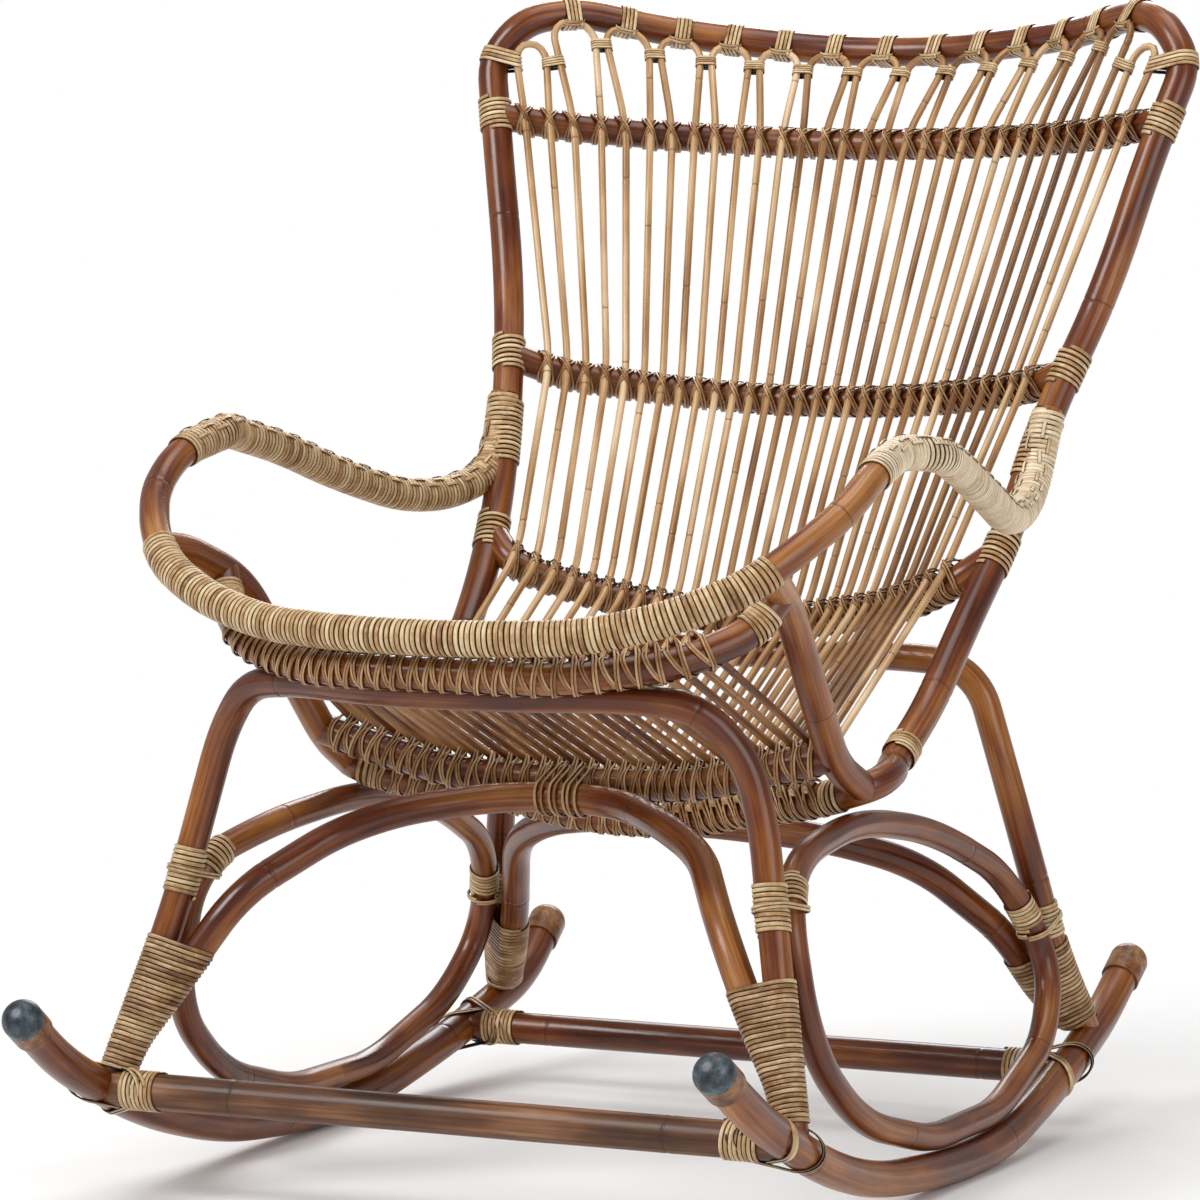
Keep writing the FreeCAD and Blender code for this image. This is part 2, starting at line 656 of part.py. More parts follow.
def lashing(name, first, second, start, end, turns):
    """A winding round two poles side by side, between two points beside the first one."""
    axis = unit(end - start)
    step = (end - start) / (4 * turns)
    stations = []
    for i in range(4 * turns + 1):
        point = start + step * i
        one, one_way = first.crossing(point, axis)
        two, two_way = second.crossing(point, axis, one)
        over = square_to(two - one, axis)
        side = axis.cross(over)
        reaches = []
        for pole, way in ((first, one_way), (second, two_way)):
            lean_angle = math.acos(min(1, abs(way.dot(axis))))
            slack = step.Length * math.tan(lean_angle)
            reaches.append(pole.radius / math.cos(lean_angle) + slack + cane_radius + cane_clearance)
        apart = (two - one).Length
        tilt = math.asin(max(-1, min(1, (reaches[0] - reaches[1]) / apart)))
        rise = 4 * step.Length / (math.pi * sum(reaches) + 2 * apart)
        on_first = i % 4 in (0, 1)
        hand = 1 if i % 4 in (0, 3) else -1
        outward = over * math.sin(tilt) + side * math.cos(tilt) * hand
        way = side * math.sin(tilt) - over * math.cos(tilt) * hand
        middle = one if on_first else two
        stations.append((middle + outward * reaches[0 if on_first else 1], unit(way + axis * rise)))
    return winding(name, stations)


def along_pole(name, pole, near, shares, turns, partner=None):
    """A band round a pole, or a lashing that binds a partner to it, between two shares of the height."""
    low = pole.at_height(shares[0] * frame_height, near)
    high = pole.at_height(shares[1] * frame_height, near)
    if partner is None:
        return band(name, pole, low, high, turns)
    return lashing(name, pole, partner, high, low, turns)


def beside_end(pole, points, margin):
    """The point of a pole beside the end of another one, a margin along that one's first run."""
    point = points[0] + unit(points[1] - points[0]) * margin
    heading = pole.crossing(point, Vector(0, 0, 1))[1]
    return pole.crossing(point, heading)[0]


def at_share(pole, share, near):
    return pole.at_height(share * frame_height, near)


def beside_joint(name, joint_share):
    """A band of turns round a post, in the middle of a cross rail's joint."""
    half = post_band_turns * cane_pitch / (2 * frame_height)
    return along_pole(name, hoop, post_near, (joint_share - half, joint_share + half), post_band_turns)


def stretcher_band(name, pole, end):
    """A band on the end of a stretcher, beside the rocker."""
    inward = Vector(-1, 0, 0)
    start = end + inward * (rocker_radius + 2 * cane_pitch)
    return band(name, pole, start, start + inward * stretcher_turns * cane_pitch, stretcher_turns)


leg_near = front_leg_half[1]
rear_near = rear_leg_half[1]
post_near = Vector(half_spacing, rocker_reach, frame_height)
splice_run = Pole([hoop_half[1], splice_start + splice_heading * 2 * bottom_rail_radius], hoop_radius)
splice_half = splice_heading * (splice_turns * cane_pitch / 2)
foot_way = unit(bottom_rail_half[5] - bottom_rail_half[4])
foot_start = bottom_rail_half[4] + foot_way * 2 * cane_pitch
corner_way = unit(front_rail_half[1] - front_rail_half[0])
corner_start = front_rail_half[0] + corner_way * (side_rail_radius + cane_pitch)
lashings = {
    "front_leg_lashing": lashing("front leg", front_leg, front_brace,
                                 at_share(front_leg, front_leg_lashing_top_share, leg_near),
                                 beside_end(front_leg, front_brace_half, front_brace_margin),
                                 front_leg_turns),
    "rear_leg_lashing": lashing("rear leg", rear_leg, rear_brace,
                                at_share(rear_leg, rear_leg_lashing_top_share, rear_near),
                                beside_end(rear_leg, rear_brace_half, rear_brace_margin), rear_leg_turns),
    "ring_front_lashing": along_pole("ring front", front_leg, leg_near, ring_front_lashing_shares,
                                     ring_front_turns, ring),
    "ring_rear_lashing": along_pole("ring rear", rear_leg, rear_near, ring_rear_lashing_shares,
                                    ring_rear_turns, ring),
    "front_stretcher_lashing": stretcher_band("front stretcher", front_stretcher, front_stretcher_end),
    "rear_stretcher_lashing": stretcher_band("rear stretcher", rear_stretcher, rear_stretcher_end),
    "upper_post_band": beside_joint("upper post", upper_joint_share),
    "middle_post_band": beside_joint("middle post", middle_joint_share),
    "lower_post_band": beside_joint("lower post", lower_joint_share),
    "arm_joint_wrap": lashing("arm joint", hoop, arm, beside_end(hoop, [arm_end, arm_half[0]], arm_margin),
                              at_share(hoop, arm_joint_wrap_low_share, post_near), arm_joint_turns),
    "post_splice_band": band("splice", splice_run, splice_start - splice_half, splice_start + splice_half,
                             splice_turns),
    "side_rail_foot_band": band("side rail foot", bottom_rail, foot_start,
                                foot_start + foot_way * foot_turns * cane_pitch, foot_turns),
    "front_corner_wrap": band("front corner", front_rail, corner_start,
                              corner_start + corner_way * corner_turns * cane_pitch, corner_turns),
}

# Ties of the hairpins: each to the top rail or a post, and each to its neighbour just below
loop_ties = []
for rod, left_edge, right_edge in zip(hairpins[1:-1], loop_edges, loop_edges[1:]):
    middle, along = top_rail_at((left_edge + right_edge) / 2)
    half = along * tie_pitch
    loop_ties.append(lashing("loop", hoop, rod, middle - half, middle + half, tie_turns))
post_tie_middle = at_share(hoop, end_loop_tie_share, post_near)
post_tie_half = hoop.crossing(post_tie_middle, Vector(0, 0, 1))[1] * (post_tie_turns * tie_pitch / 2)
post_tie = lashing("end loop", hoop, hairpins[-1], post_tie_middle + post_tie_half,
                   post_tie_middle - post_tie_half, post_tie_turns)
loop_ties += [post_tie, flipped(post_tie)]
pair_ties = []
for leg, other_leg, rod, neighbour in zip(right_legs, left_legs[1:], hairpins, hairpins[1:]):
    down = unit(leg[-2] - leg[-1])
    start = leg[-1] + down * (pair_tie_drop + max(0, (other_leg[-1] - leg[-1]).dot(down)))
    end = start + down * pair_tie_turns * tie_pitch
    pair_ties.append(lashing("pair", rod, neighbour, start, end, pair_tie_turns))
parts["top_rail_ties"] = loop_ties
parts["spindle_pair_ties"] = pair_ties


# Nails from the rockers into the legs and the stretchers
def nail(seat, inward, extra=0):
    """A nail with its head sunk beside a point of the rocker, or its bore when thicker by extra."""
    under = seat - inward * (rocker_radius / 2)
    shank = Part.makeCylinder(nail_radius + extra, nail_length + extra, under, inward)
    height = nail_head_height + (rocker_radius if extra else 0)
    head = Part.makeCylinder(nail_head_radius + extra, height, under, inward * -1)
    return shank.fuse(head)


nails = [(front_foot, unit(front_leg_half[1] - front_foot)), (rear_foot, unit(rear_leg_half[1] - rear_foot)),
         (front_stretcher_end, Vector(-1, 0, 0)), (rear_stretcher_end, Vector(-1, 0, 0))]
bores = [nail(seat, inward, fit_gap) for seat, inward in nails]
parts["frame_nails"] = [nail(seat, inward) for seat, inward in nails]
parts["frame_nails"] += [flipped(solid) for solid in parts["frame_nails"]]
for name in ("rocker_right", "front_leg_arch", "rear_leg_arch", "front_stretcher", "rear_stretcher"):
    holes = bores if name == "rocker_right" else bores + [flipped(bore) for bore in bores]
    parts[name] = [biggest(parts[name][0].cut(holes))]

# Pieces that the left side has too
for name in [name for name in parts if name.endswith("_right")]:
    parts[name.replace("_right", "_left")] = [flipped(solid) for solid in parts[name]]
for name, solid in lashings.items():
    parts[name + "_right"] = [solid]
    parts[name + "_left"] = [flipped(solid)]

# The origin is on the floor, in the middle of the chair's outline
outline = parts["front_tip_cap_right"] + parts["back_frame_hoop"] + parts["top_rail_ties"]
box = Part.makeCompound(outline).optimalBoundingBox()
shift = Vector(0, -(box.YMin + box.YMax) / 2, 0)
print("shift", shift, "height", box.ZMax)
print("least gap of a winding to itself", min(least_gaps))

os.makedirs("parts", exist_ok=True)
for name, solids in parts.items():
    shape = Part.makeCompound(solids) if len(solids) > 1 else solids[0]
    shape = shape.translated(shift)
    shape.exportStep("parts/" + name + ".step")
    print(name, len(solids), round(shape.Volume), shape.isValid())
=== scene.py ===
import math

import bpy
import numpy as np
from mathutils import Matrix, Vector


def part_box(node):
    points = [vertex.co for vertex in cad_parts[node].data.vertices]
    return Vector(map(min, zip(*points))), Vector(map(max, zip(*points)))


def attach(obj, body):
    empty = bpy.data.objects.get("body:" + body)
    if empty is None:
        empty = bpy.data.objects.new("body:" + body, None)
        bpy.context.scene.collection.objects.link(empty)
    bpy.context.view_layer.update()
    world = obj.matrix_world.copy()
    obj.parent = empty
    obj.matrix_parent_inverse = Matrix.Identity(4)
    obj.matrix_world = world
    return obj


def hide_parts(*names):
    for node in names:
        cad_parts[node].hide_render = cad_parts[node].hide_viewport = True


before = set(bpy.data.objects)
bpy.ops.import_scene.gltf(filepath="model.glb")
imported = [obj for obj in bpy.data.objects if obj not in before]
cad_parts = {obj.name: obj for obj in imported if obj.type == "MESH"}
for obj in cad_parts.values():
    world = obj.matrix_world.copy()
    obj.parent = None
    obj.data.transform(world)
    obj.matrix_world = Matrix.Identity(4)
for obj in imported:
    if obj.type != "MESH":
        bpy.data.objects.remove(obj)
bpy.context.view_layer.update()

# Rocking chair of bent rattan poles, nailed and lashed with split cane.
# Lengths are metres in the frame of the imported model: X across, Y to the back, Z up.
# The bends of each pole are the same shares of the three overall sizes as in the frame.

half_spacing = 0.300
rocker_reach = 0.900
frame_height = 0.950

# Pole radii
rocker_radius = 0.015
leg_radius = 0.0125
ring_radius = 0.0115
hoop_radius = 0.0135
bottom_rail_radius = 0.013
back_rail_radius = 0.0125
seat_rail_radius = 0.013
side_rail_radius = 0.013
arm_radius = 0.0124
front_stretcher_radius = 0.0148
rear_stretcher_radius = 0.014
rod_radius = 0.0033

# Fits, cane and rods, as in the frame
fit_gap = 0.0003
cane_radius = 0.0011
cane_pitch = 0.0039
cane_clearance = 0.0005
tie_clearance = 0.00045
arch_clearance = 0.0015
ring_clearance = 0.0014
rod_gap = 0.00055
sleeve_wall = 0.0021
rod_overhang = 0.009
rod_bend_reach = 0.026
pair_tie_drop = 0.015
shoulder_drop = 0.012
crown_share = 0.5
loop_count = 15
seat_rod_count = 30
bend_share = 0.46

# Distance between the points of a middle line
line_step = 0.003

# How far the ring is slid both ways to find where it touches, and how often that span is halved
slide = 2 * ring_radius
slide_halvings = 12

rocker_shares = (
    (0.993, -0.003, 0.156), (1.007, 0.074, 0.107), (1.003, 0.217, 0.047), (0.980, 0.352, 0.013),
    (0.980, 0.508, 0), (0.983, 0.641, 0), (0.957, 0.807, 0.032), (0.930, 0.944, 0.070),
    (0.940, 1.010, 0.115))
ring_rest_shares = ((0.967, 0.644), (0.973, 0.481))
ring_front_shares = ((0.957, 0.329, 0.080), (0.940, 0.232, 0.155), (0.873, 0.233, 0.276))
ring_top_shares = ((0.790, 0.333, 0.313), (0.750, 0.489, 0.324), (0.773, 0.649, 0.298))
ring_rear_shares = ((0.817, 0.783, 0.233), (0.900, 0.832, 0.148), (0.943, 0.779, 0.086))
front_leg_shares = (
    (0.883, 0.206, 0.239), (0.823, 0.227, 0.335), (0.770, 0.229, 0.393), (0.660, 0.209, 0.436),
    (0.480, 0.183, 0.443))
front_brace_shares = (
    (0.954, 0.171, 0.132), (0.823, 0.194, 0.195), (0.707, 0.220, 0.256), (0.543, 0.301, 0.301),
    (0.387, 0.334, 0.320))
rear_leg_shares = ((0.883, 0.859, 0.156), (0.807, 0.817, 0.295), (0.693, 0.812, 0.418), (0.413, 0.817, 0.422))
rear_brace_shares = (
    (0.897, 0.886, 0.093), (0.840, 0.859, 0.123), (0.773, 0.824, 0.175), (0.630, 0.728, 0.246),
    (0.430, 0.660, 0.274))
hoop_shares = (
    (0.758, 0.584, 0.364), (0.750, 0.656, 0.397), (0.763, 0.730, 0.462), (0.803, 0.806, 0.540),
    (0.853, 0.864, 0.643), (0.947, 0.929, 0.749), (1.036, 0.965, 0.868), (1.109, 0.999, 0.952),
    (1.023, 1.015, 0.989), (0.898, 1.049, 0.997), (0.619, 1.110, 0.975), (0.167, 1.146, 0.960))
bottom_rail_shares = (
    (0.813, 0.518, 0.353), (0.810, 0.486, 0.346), (0.747, 0.468, 0.339), (0.600, 0.484, 0.326),
    (0.367, 0.533, 0.312), (0.150, 0.556, 0.294))
arm_shares = (
    (0.847, 0.828, 0.575), (0.890, 0.759, 0.557), (0.937, 0.686, 0.560), (0.997, 0.590, 0.586),
    (1.030, 0.499, 0.615), (1.067, 0.423, 0.633), (1.000, 0.382, 0.637), (1.027, 0.306, 0.623),
    (1.013, 0.251, 0.594), (0.933, 0.202, 0.563), (0.843, 0.171, 0.537), (0.680, 0.141, 0.514),
    (0.463, 0.118, 0.497), (0.160, 0.094, 0.494))
front_rail_shares = ((0.770, 0.239, 0.495), (0.637, 0.189, 0.472), (0.357, 0.133, 0.460))
rear_rail_shares = ((0.377, 0.416, 0.345), (0.160, 0.432, 0.340))
upper_rail_shares = ((0.870, 1.001, 0.889), (0.600, 1.052, 0.880), (0.200, 1.079, 0.874))
middle_rail_shares = ((0.750, 0.907, 0.661), (0.470, 0.945, 0.647), (0.160, 0.966, 0.639))
lower_rail_shares = ((0.687, 0.761, 0.494), (0.493, 0.800, 0.467), (0.160, 0.841, 0.446))
side_rail_shares = ((0.853, 0.211, 0.547), (0.807, 0.284, 0.518), (0.767, 0.423, 0.368))

# Joints, as shares of rocker_reach for a depth and of frame_height for a height
front_foot_share = 0.155
rear_foot_share = 0.905
front_stretcher_share = 0.145
rear_stretcher_share = 0.831
upper_joint_share = 0.900
middle_joint_share = 0.679
lower_joint_share = 0.521
arm_joint_share = 0.645
front_rail_joint_share = 0.526
rear_rail_joint_share = 0.376
loop_edge_shares = (0.084, 0.249, 0.401, 0.550, 0.702, 0.845, 0.982)
end_loop_shares = ((0.944, 1.010, 0.967), (1.030, 0.997, 0.967))
end_loop_tie_share = 0.953
upper_spread_share = 0.9

# Directions in degrees from +Y towards +Z in which one pole lies against another
front_rail_direction = -58
front_leg_direction = -38
front_brace_direction = 200
rear_leg_direction = -90
rear_brace_direction = -6
loop_direction = 198

random = np.random.default_rng(7)

up = np.array((0.0, 0.0, 1.0))
right = np.array((1.0, 0.0, 0.0))
back = np.array((0.0, 1.0, 0.0))


def unit(vector):
    return vector / np.linalg.norm(vector)


def units(vectors):
    return vectors / np.linalg.norm(vectors, axis=-1, keepdims=True)


stretcher_low, stretcher_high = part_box("front_stretcher")
shift = (stretcher_low.y + stretcher_high.y) / 2 - front_stretcher_share * rocker_reach


def place(share):
    """The point that three shares of the overall sizes give."""
    return np.array((share[0] * half_spacing, share[1] * rocker_reach + shift, share[2] * frame_height))


def places(shares):
    return [place(share) for share in shares]


def mirror(point):
    return point * (-1, 1, 1)


def both_halves(points):
    return [mirror(p) for p in points] + points[::-1]


def beside(point, degrees, distance):
    turn = math.radians(degrees)
    return point + np.array((0, math.cos(turn), math.sin(turn))) * distance


def square_to(vector, axis):
    return unit(vector - axis * vector.dot(axis))


# Paths

def arc_points(corner, arriving, leaving, reach, step):
    """Points of the arc that rounds a corner, reach long on both sides."""
    start = corner - arriving * reach
    end = corner + leaving * reach
    turn = math.acos(max(-1.0, min(1.0, arriving.dot(leaving))))
    if turn < 1e-3:
        return [start, end]
    radius = reach / math.tan(turn / 2)
    inward = square_to(leaving, arriving)
    centre = start + inward * radius
    count = max(3, math.ceil(radius * turn / step))
    angles = [turn * i / count for i in range(count + 1)]
    return [centre - inward * radius * math.cos(a) + arriving * radius * math.sin(a) for a in angles]


def rounded(points, reaches, step):
    """Evenly spaced points along straight runs joined by tangent arcs."""
    line = [points[0]]
    for i, (before, corner, after) in enumerate(zip(points, points[1:], points[2:])):
        arriving, leaving = corner - before, after - corner
        shorter = min(np.linalg.norm(arriving), np.linalg.norm(leaving))
        reach = reaches[i] if reaches else bend_share * shorter
        line += arc_points(corner, unit(arriving), unit(leaving), reach, step)
    line.append(points[-1])
    return spaced(np.array(line), step)


def lengths_along(line):
    return np.concatenate(([0], np.cumsum(np.linalg.norm(np.diff(line, axis=0), axis=1))))


def spaced(line, step):
    """The same line with points a step apart."""
    along = lengths_along(line)
    keep = np.concatenate(([True], np.diff(along) > 1e-7))
    stations = np.linspace(0, along[-1], max(2, math.ceil(along[-1] / step) + 1))
    return at_stations(line[keep], along[keep], stations)


def at_stations(values, along, stations):
    return np.stack([np.interp(stations, along, values[:, k]) for k in range(values.shape[1])], axis=1)


def tangents_of(line, closed=False):
    if closed:
        return units(np.roll(line, -1, axis=0) - np.roll(line, 1, axis=0))
    return units(np.gradient(line, axis=0))


def carried_normals(tangents, first):
    """Normals along a line that turn no more than the line does."""
    normals = [square_to(first, tangents[0])]
    for tangent in tangents[1:]:
        normals.append(square_to(normals[-1], tangent))
    return np.array(normals)


class Pole:
    """A round pole: its middle line, with a direction square to it at each point."""

    def __init__(self, points, radius, reaches=None, closed=False, step=line_step):
        self.radius = radius
        self.closed = closed
        self.line = rounded(points, reaches, step)
        self.along = lengths_along(self.line)
        self.tangents = tangents_of(self.line)
        first = up if abs(self.tangents[0][2]) < 0.7 else right
        self.length = self.along[-1]
        self.normals = carried_normals(self.tangents, first)
        self.sides = np.cross(self.tangents, self.normals)
        if closed:
            self.untwist()

    def untwist(self):
        """Turns the normals evenly along a closed line so that the last one meets the first."""
        twist = math.atan2(self.normals[0] @ self.sides[-1], self.normals[0] @ self.normals[-1])
        turns = (twist * self.along / self.length)[:, None]
        self.normals, self.sides = (self.normals * np.cos(turns) + self.sides * np.sin(turns),
                                    self.sides * np.cos(turns) - self.normals * np.sin(turns))

    def spots(self, stations):
        """Middle, normal and side at distances along the pole."""
        middles = at_stations(self.line, self.along, stations)
        normals = units(at_stations(self.normals, self.along, stations))
        sides = units(at_stations(self.sides, self.along, stations))
        return middles, normals, sides

    def crossing(self, point, normal, near=None):
        """Where the middle line passes through a plane, and its direction there."""
        near = point if near is None else near
        offsets = (self.line - point) @ normal
        found = np.nonzero((offsets[:-1] * offsets[1:] <= 0) & (offsets[:-1] != offsets[1:]))[0]
        shares = offsets[found] / (offsets[found] - offsets[found + 1])
        hits = self.line[found] + (self.line[found + 1] - self.line[found]) * shares[:, None]
        best = np.argmin(np.linalg.norm(hits - near, axis=1))
        i = found[best]
        return hits[best], unit(self.line[i + 1] - self.line[i])

    def at_height(self, height, near):
        return self.crossing(np.array((near[0], near[1], height)), up)[0]

    def at_depth(self, depth, near):
        return self.crossing(np.array((near[0], depth + shift, near[2])), back)[0]

    def at_side(self, side, near):
        return self.crossing(np.array((side, near[1], near[2])), right)[0]

    def station_of(self, point):
        """How far along the pole the nearest point of its middle line is."""
        return self.along[np.argmin(np.linalg.norm(self.line - point, axis=1))]

    def gap_to(self, other):
        """The least distance between the two surfaces."""
        apart = np.linalg.norm(self.line[:, None, :] - other.line[None, :, :], axis=2)
        return apart.min() - self.radius - other.radius


def slid_to_touch(build, other, extra=0):
    """The least shift at which a pole just clears another one."""
    close, far = -slide, slide
    for _ in range(slide_halvings):
        middle = (close + far) / 2
        if build(middle).gap_to(other) > fit_gap + extra:
            far = middle
        else:
            close = middle
    return far


# Middle lines of the poles
rocker_points = [place(s) + up * rocker_radius for s in rocker_shares]
rocker = Pole(rocker_points, rocker_radius)
front_foot = rocker.at_depth(front_foot_share * rocker_reach, rocker_points[1])
rear_foot = rocker.at_depth(rear_foot_share * rocker_reach, rocker_points[-2])
arm_half = places(arm_shares)
edge_middle = arm_half[-1]
hoop_half = places(hoop_shares)
hoop = Pole(both_halves(hoop_half), hoop_radius)
splice_heading = unit(hoop_half[0] - hoop_half[1])
splice_start = hoop_half[0] + splice_heading * fit_gap
bottom_rail_half = [splice_start, splice_start + splice_heading * 2 * bottom_rail_radius]
bottom_rail_half += places(bottom_rail_shares)
bottom_rail = Pole(both_halves(bottom_rail_half), bottom_rail_radius)
bottom_corner = (bottom_rail_half[3] + bottom_rail_half[4]) / 2
post_near = np.array((half_spacing, rocker_reach + shift, frame_height))


def post_point(height_share):
    return hoop.at_height(height_share * frame_height, post_near)


def cross_rail(joint_share, shares):
    return Pole(both_halves([post_point(joint_share)] + places(shares)), back_rail_radius)


upper_rail = cross_rail(upper_joint_share, upper_rail_shares)
middle_rail = cross_rail(middle_joint_share, middle_rail_shares)
lower_rail = cross_rail(lower_joint_share, lower_rail_shares)
arm_end = post_point(arm_joint_share) - back * hoop_radius / 2
arm = Pole(both_halves([arm_end] + arm_half), arm_radius)
edge_corner = (arm_half[9] + arm_half[10]) / 2
side_rail_points = [edge_corner] + places(side_rail_shares) + [bottom_corner]
side_rail = Pole(side_rail_points, side_rail_radius)
front_rail_middle = beside(
    edge_middle, front_rail_direction,
    arm_radius + sleeve_wall + 2 * rod_radius + seat_rail_radius + 4 * fit_gap)
front_rail_end = side_rail.at_height(front_rail_joint_share * frame_height, side_rail_points[1])
front_rail_half = [front_rail_end] + places(front_rail_shares) + [front_rail_middle]
front_rail = Pole(both_halves(front_rail_half), seat_rail_radius)
rear_rail_end = side_rail.at_height(rear_rail_joint_share * frame_height, side_rail_points[-1])
rear_rail_half = [rear_rail_end] + places(rear_rail_shares)
rear_rail = Pole(both_halves(rear_rail_half), seat_rail_radius)
tie_depth = 2 * cane_radius + tie_clearance + arch_clearance
touching = seat_rail_radius + leg_radius + tie_depth
front_leg_half = [front_foot] + places(front_leg_shares)
front_leg_half += [beside(front_rail_middle, front_leg_direction, touching)]
front_leg = Pole(both_halves(front_leg_half), leg_radius)
front_brace_half = places(front_brace_shares)
front_brace_half += [beside(rear_rail_half[-1], front_brace_direction, touching)]
front_brace = Pole(both_halves(front_brace_half), leg_radius)
rear_leg_half = [rear_foot] + places(rear_leg_shares)
rear_leg_half += [beside(place(lower_rail_shares[-1]), rear_leg_direction,
                         back_rail_radius + leg_radius + tie_depth)]
rear_leg = Pole(both_halves(rear_leg_half), leg_radius)
rear_brace_half = places(rear_brace_shares)
rear_brace_half += [beside(bottom_rail_half[-1], rear_brace_direction,
                           bottom_rail_radius + leg_radius + tie_depth)]
rear_brace = Pole(both_halves(rear_brace_half), leg_radius)
ring_rest_height = 2 * rocker_radius + ring_radius + fit_gap


def ring_with(lift=0, drop=0, front_shift=0, rear_shift=0):
    rest = [place((s[0], s[1], 0)) + up * (ring_rest_height + lift) for s in ring_rest_shares]
    seam = (rest[0] + rest[1]) / 2
    points = [seam, rest[1]]
    points += [place(s) + back * front_shift for s in ring_front_shares]
    points += [place(s) - up * drop for s in ring_top_shares]
    points += [place(s) + back * rear_shift for s in ring_rear_shares]
    return Pole(points + [rest[0], seam], ring_radius, closed=True)


band_depth = cane_clearance + 2 * cane_radius
leg_standoff = band_depth + ring_clearance
lift = slid_to_touch(ring_with, rocker)
drop = slid_to_touch(lambda s: ring_with(lift, s), bottom_rail, band_depth)
front_shift = slid_to_touch(lambda s: ring_with(lift, drop, s), front_leg, leg_standoff)
rear_shift = slid_to_touch(lambda s: ring_with(lift, drop, front_shift, -s), rear_leg, leg_standoff)
ring = ring_with(lift, drop, front_shift, -rear_shift)
front_stretcher_end = rocker.at_depth(front_stretcher_share * rocker_reach, rocker_points[1])
rear_stretcher_end = rocker.at_depth(rear_stretcher_share * rocker_reach, rocker_points[-2])
front_stretcher = Pole([mirror(front_stretcher_end), front_stretcher_end], front_stretcher_radius)
rear_stretcher = Pole([mirror(rear_stretcher_end), rear_stretcher_end], rear_stretcher_radius)

# Middle lines of the rods, and where each lies on a rail
rail_levels = [bottom_rail, lower_rail, middle_rail, upper_rail]
level_shares = (0, lower_joint_share, middle_joint_share, upper_joint_share)
rail_middles = [rail.at_side(0, place((0, 1, share))) for rail, share in zip(rail_levels, level_shares)]


def post_inside(height):
    return hoop.at_height(height, post_near)[0] - hoop_radius - 2 * rod_radius


foot_turns = 4
rail_reaches = [bottom_rail_half[4][0] - foot_turns * cane_pitch - bottom_rail_radius]
rail_reaches += [post_inside(middle[2]) for middle in rail_middles[1:]]
top_middle = hoop.at_side(0, place((0, 1, 1)))
front_side = np.array((0.0, -1.0, 1.0))
last_loop = loop_count // 2
tie_places = []
loop_edges = [-share * half_spacing for share in reversed(loop_edge_shares)]
loop_edges += [share * half_spacing for share in loop_edge_shares]


def lean(rail, middle, before, after, rod_side):
    """The middle of a rod that lies on a rail. The place is noted for its ties."""
    along = rail.crossing(middle, right)[1]
    outward = unit(np.cross(unit(after - before), along))
    if outward.dot(rod_side) < 0:
        outward = -outward
    tie_places.append((rail, middle, outward, along, square_to(after - before, outward)))
    return middle + outward * (rail.radius + rod_radius + rod_gap)


def top_rail_at(side):
    """The middle of the top rail at a distance from the chair's middle, and its direction."""
    return hoop.crossing(np.array((side, top_middle[1], top_middle[2])), right)


def loop_corner(index, hand):
    """The corner of a hairpin: in front of the top rail, or beside the post for an end loop."""
    if abs(index) == last_loop:
        corner = place(end_loop_shares[0 if index * hand < 0 else 1])
        return corner if index > 0 else mirror(corner)
    middle, along = top_rail_at(loop_edges[index + last_loop + (hand - 1) // 2])
    outward = square_to(beside(np.zeros(3), loop_direction, 1), along)
    return middle - along * hand * (rod_radius + tie_clearance) + outward * (hoop_radius + rod_radius + fit_gap)


def bent_on(points):
    """Moves each inner bend outwards so that its arc passes through the point."""
    moved = [points[0]]
    for before, point, after in zip(points, points[1:], points[2:]):
        arriving, leaving = unit(point - before), unit(after - point)
        rise = rod_bend_reach * math.tan(math.acos(min(1, arriving.dot(leaving))) / 4)
        moved.append(point - unit(leaving - arriving) * rise)
    return moved + [points[-1]]


def hairpin_leg(index, hand):
    even = (2 * index + hand / 2) / (loop_count - 1 / 2)
    corner = loop_corner(index, hand)
    sides = [even * rail_reach for rail_reach in rail_reaches]
    sides[-1] = corner[0] + (sides[-1] - corner[0]) * upper_spread_share
    middles = [rail.at_side(side, middle) for rail, side, middle in zip(rail_levels, sides, rail_middles)]
    middles.append(corner)
    points = [lean(rail, middle, before, after, front_side) for rail, before, middle, after
              in zip(rail_levels, middles[:1] + middles, middles, middles[1:])]
    points.append(corner)
    heading = unit(points[1] - points[0])
    return [points[0] - heading * rod_overhang] + bent_on(points)[1:]


def hairpin(legs):
    """A hairpin rod from the bends of its two legs, with its top corners rounded off twice."""
    ends = [leg[-1] for leg in legs]
    inset = (ends[1] - ends[0]) * ((1 - crown_share) / 2)
    shoulders = [leg[-1] + unit(leg[-2] - leg[-1]) * shoulder_drop for leg in legs]
    top = [shoulders[0], ends[0] + inset, ends[1] - inset, shoulders[1]]
    runs = [np.linalg.norm(b - a) for a, b in zip(top, top[1:])]
    top_reaches = [bend_share * run for run in (runs[0], min(runs[:2]), min(runs[1:]), runs[2])]
    bends = [rod_bend_reach] * (len(legs[0]) - 2)
    return Pole(legs[0][:-1] + top + legs[1][-2::-1], rod_radius, bends + top_reaches + bends)


loop_indices = range(-last_loop, last_loop + 1)
hairpin_legs = [[hairpin_leg(index, -1), hairpin_leg(index, 1)] for index in loop_indices]
hairpins = [hairpin(legs) for legs in hairpin_legs]


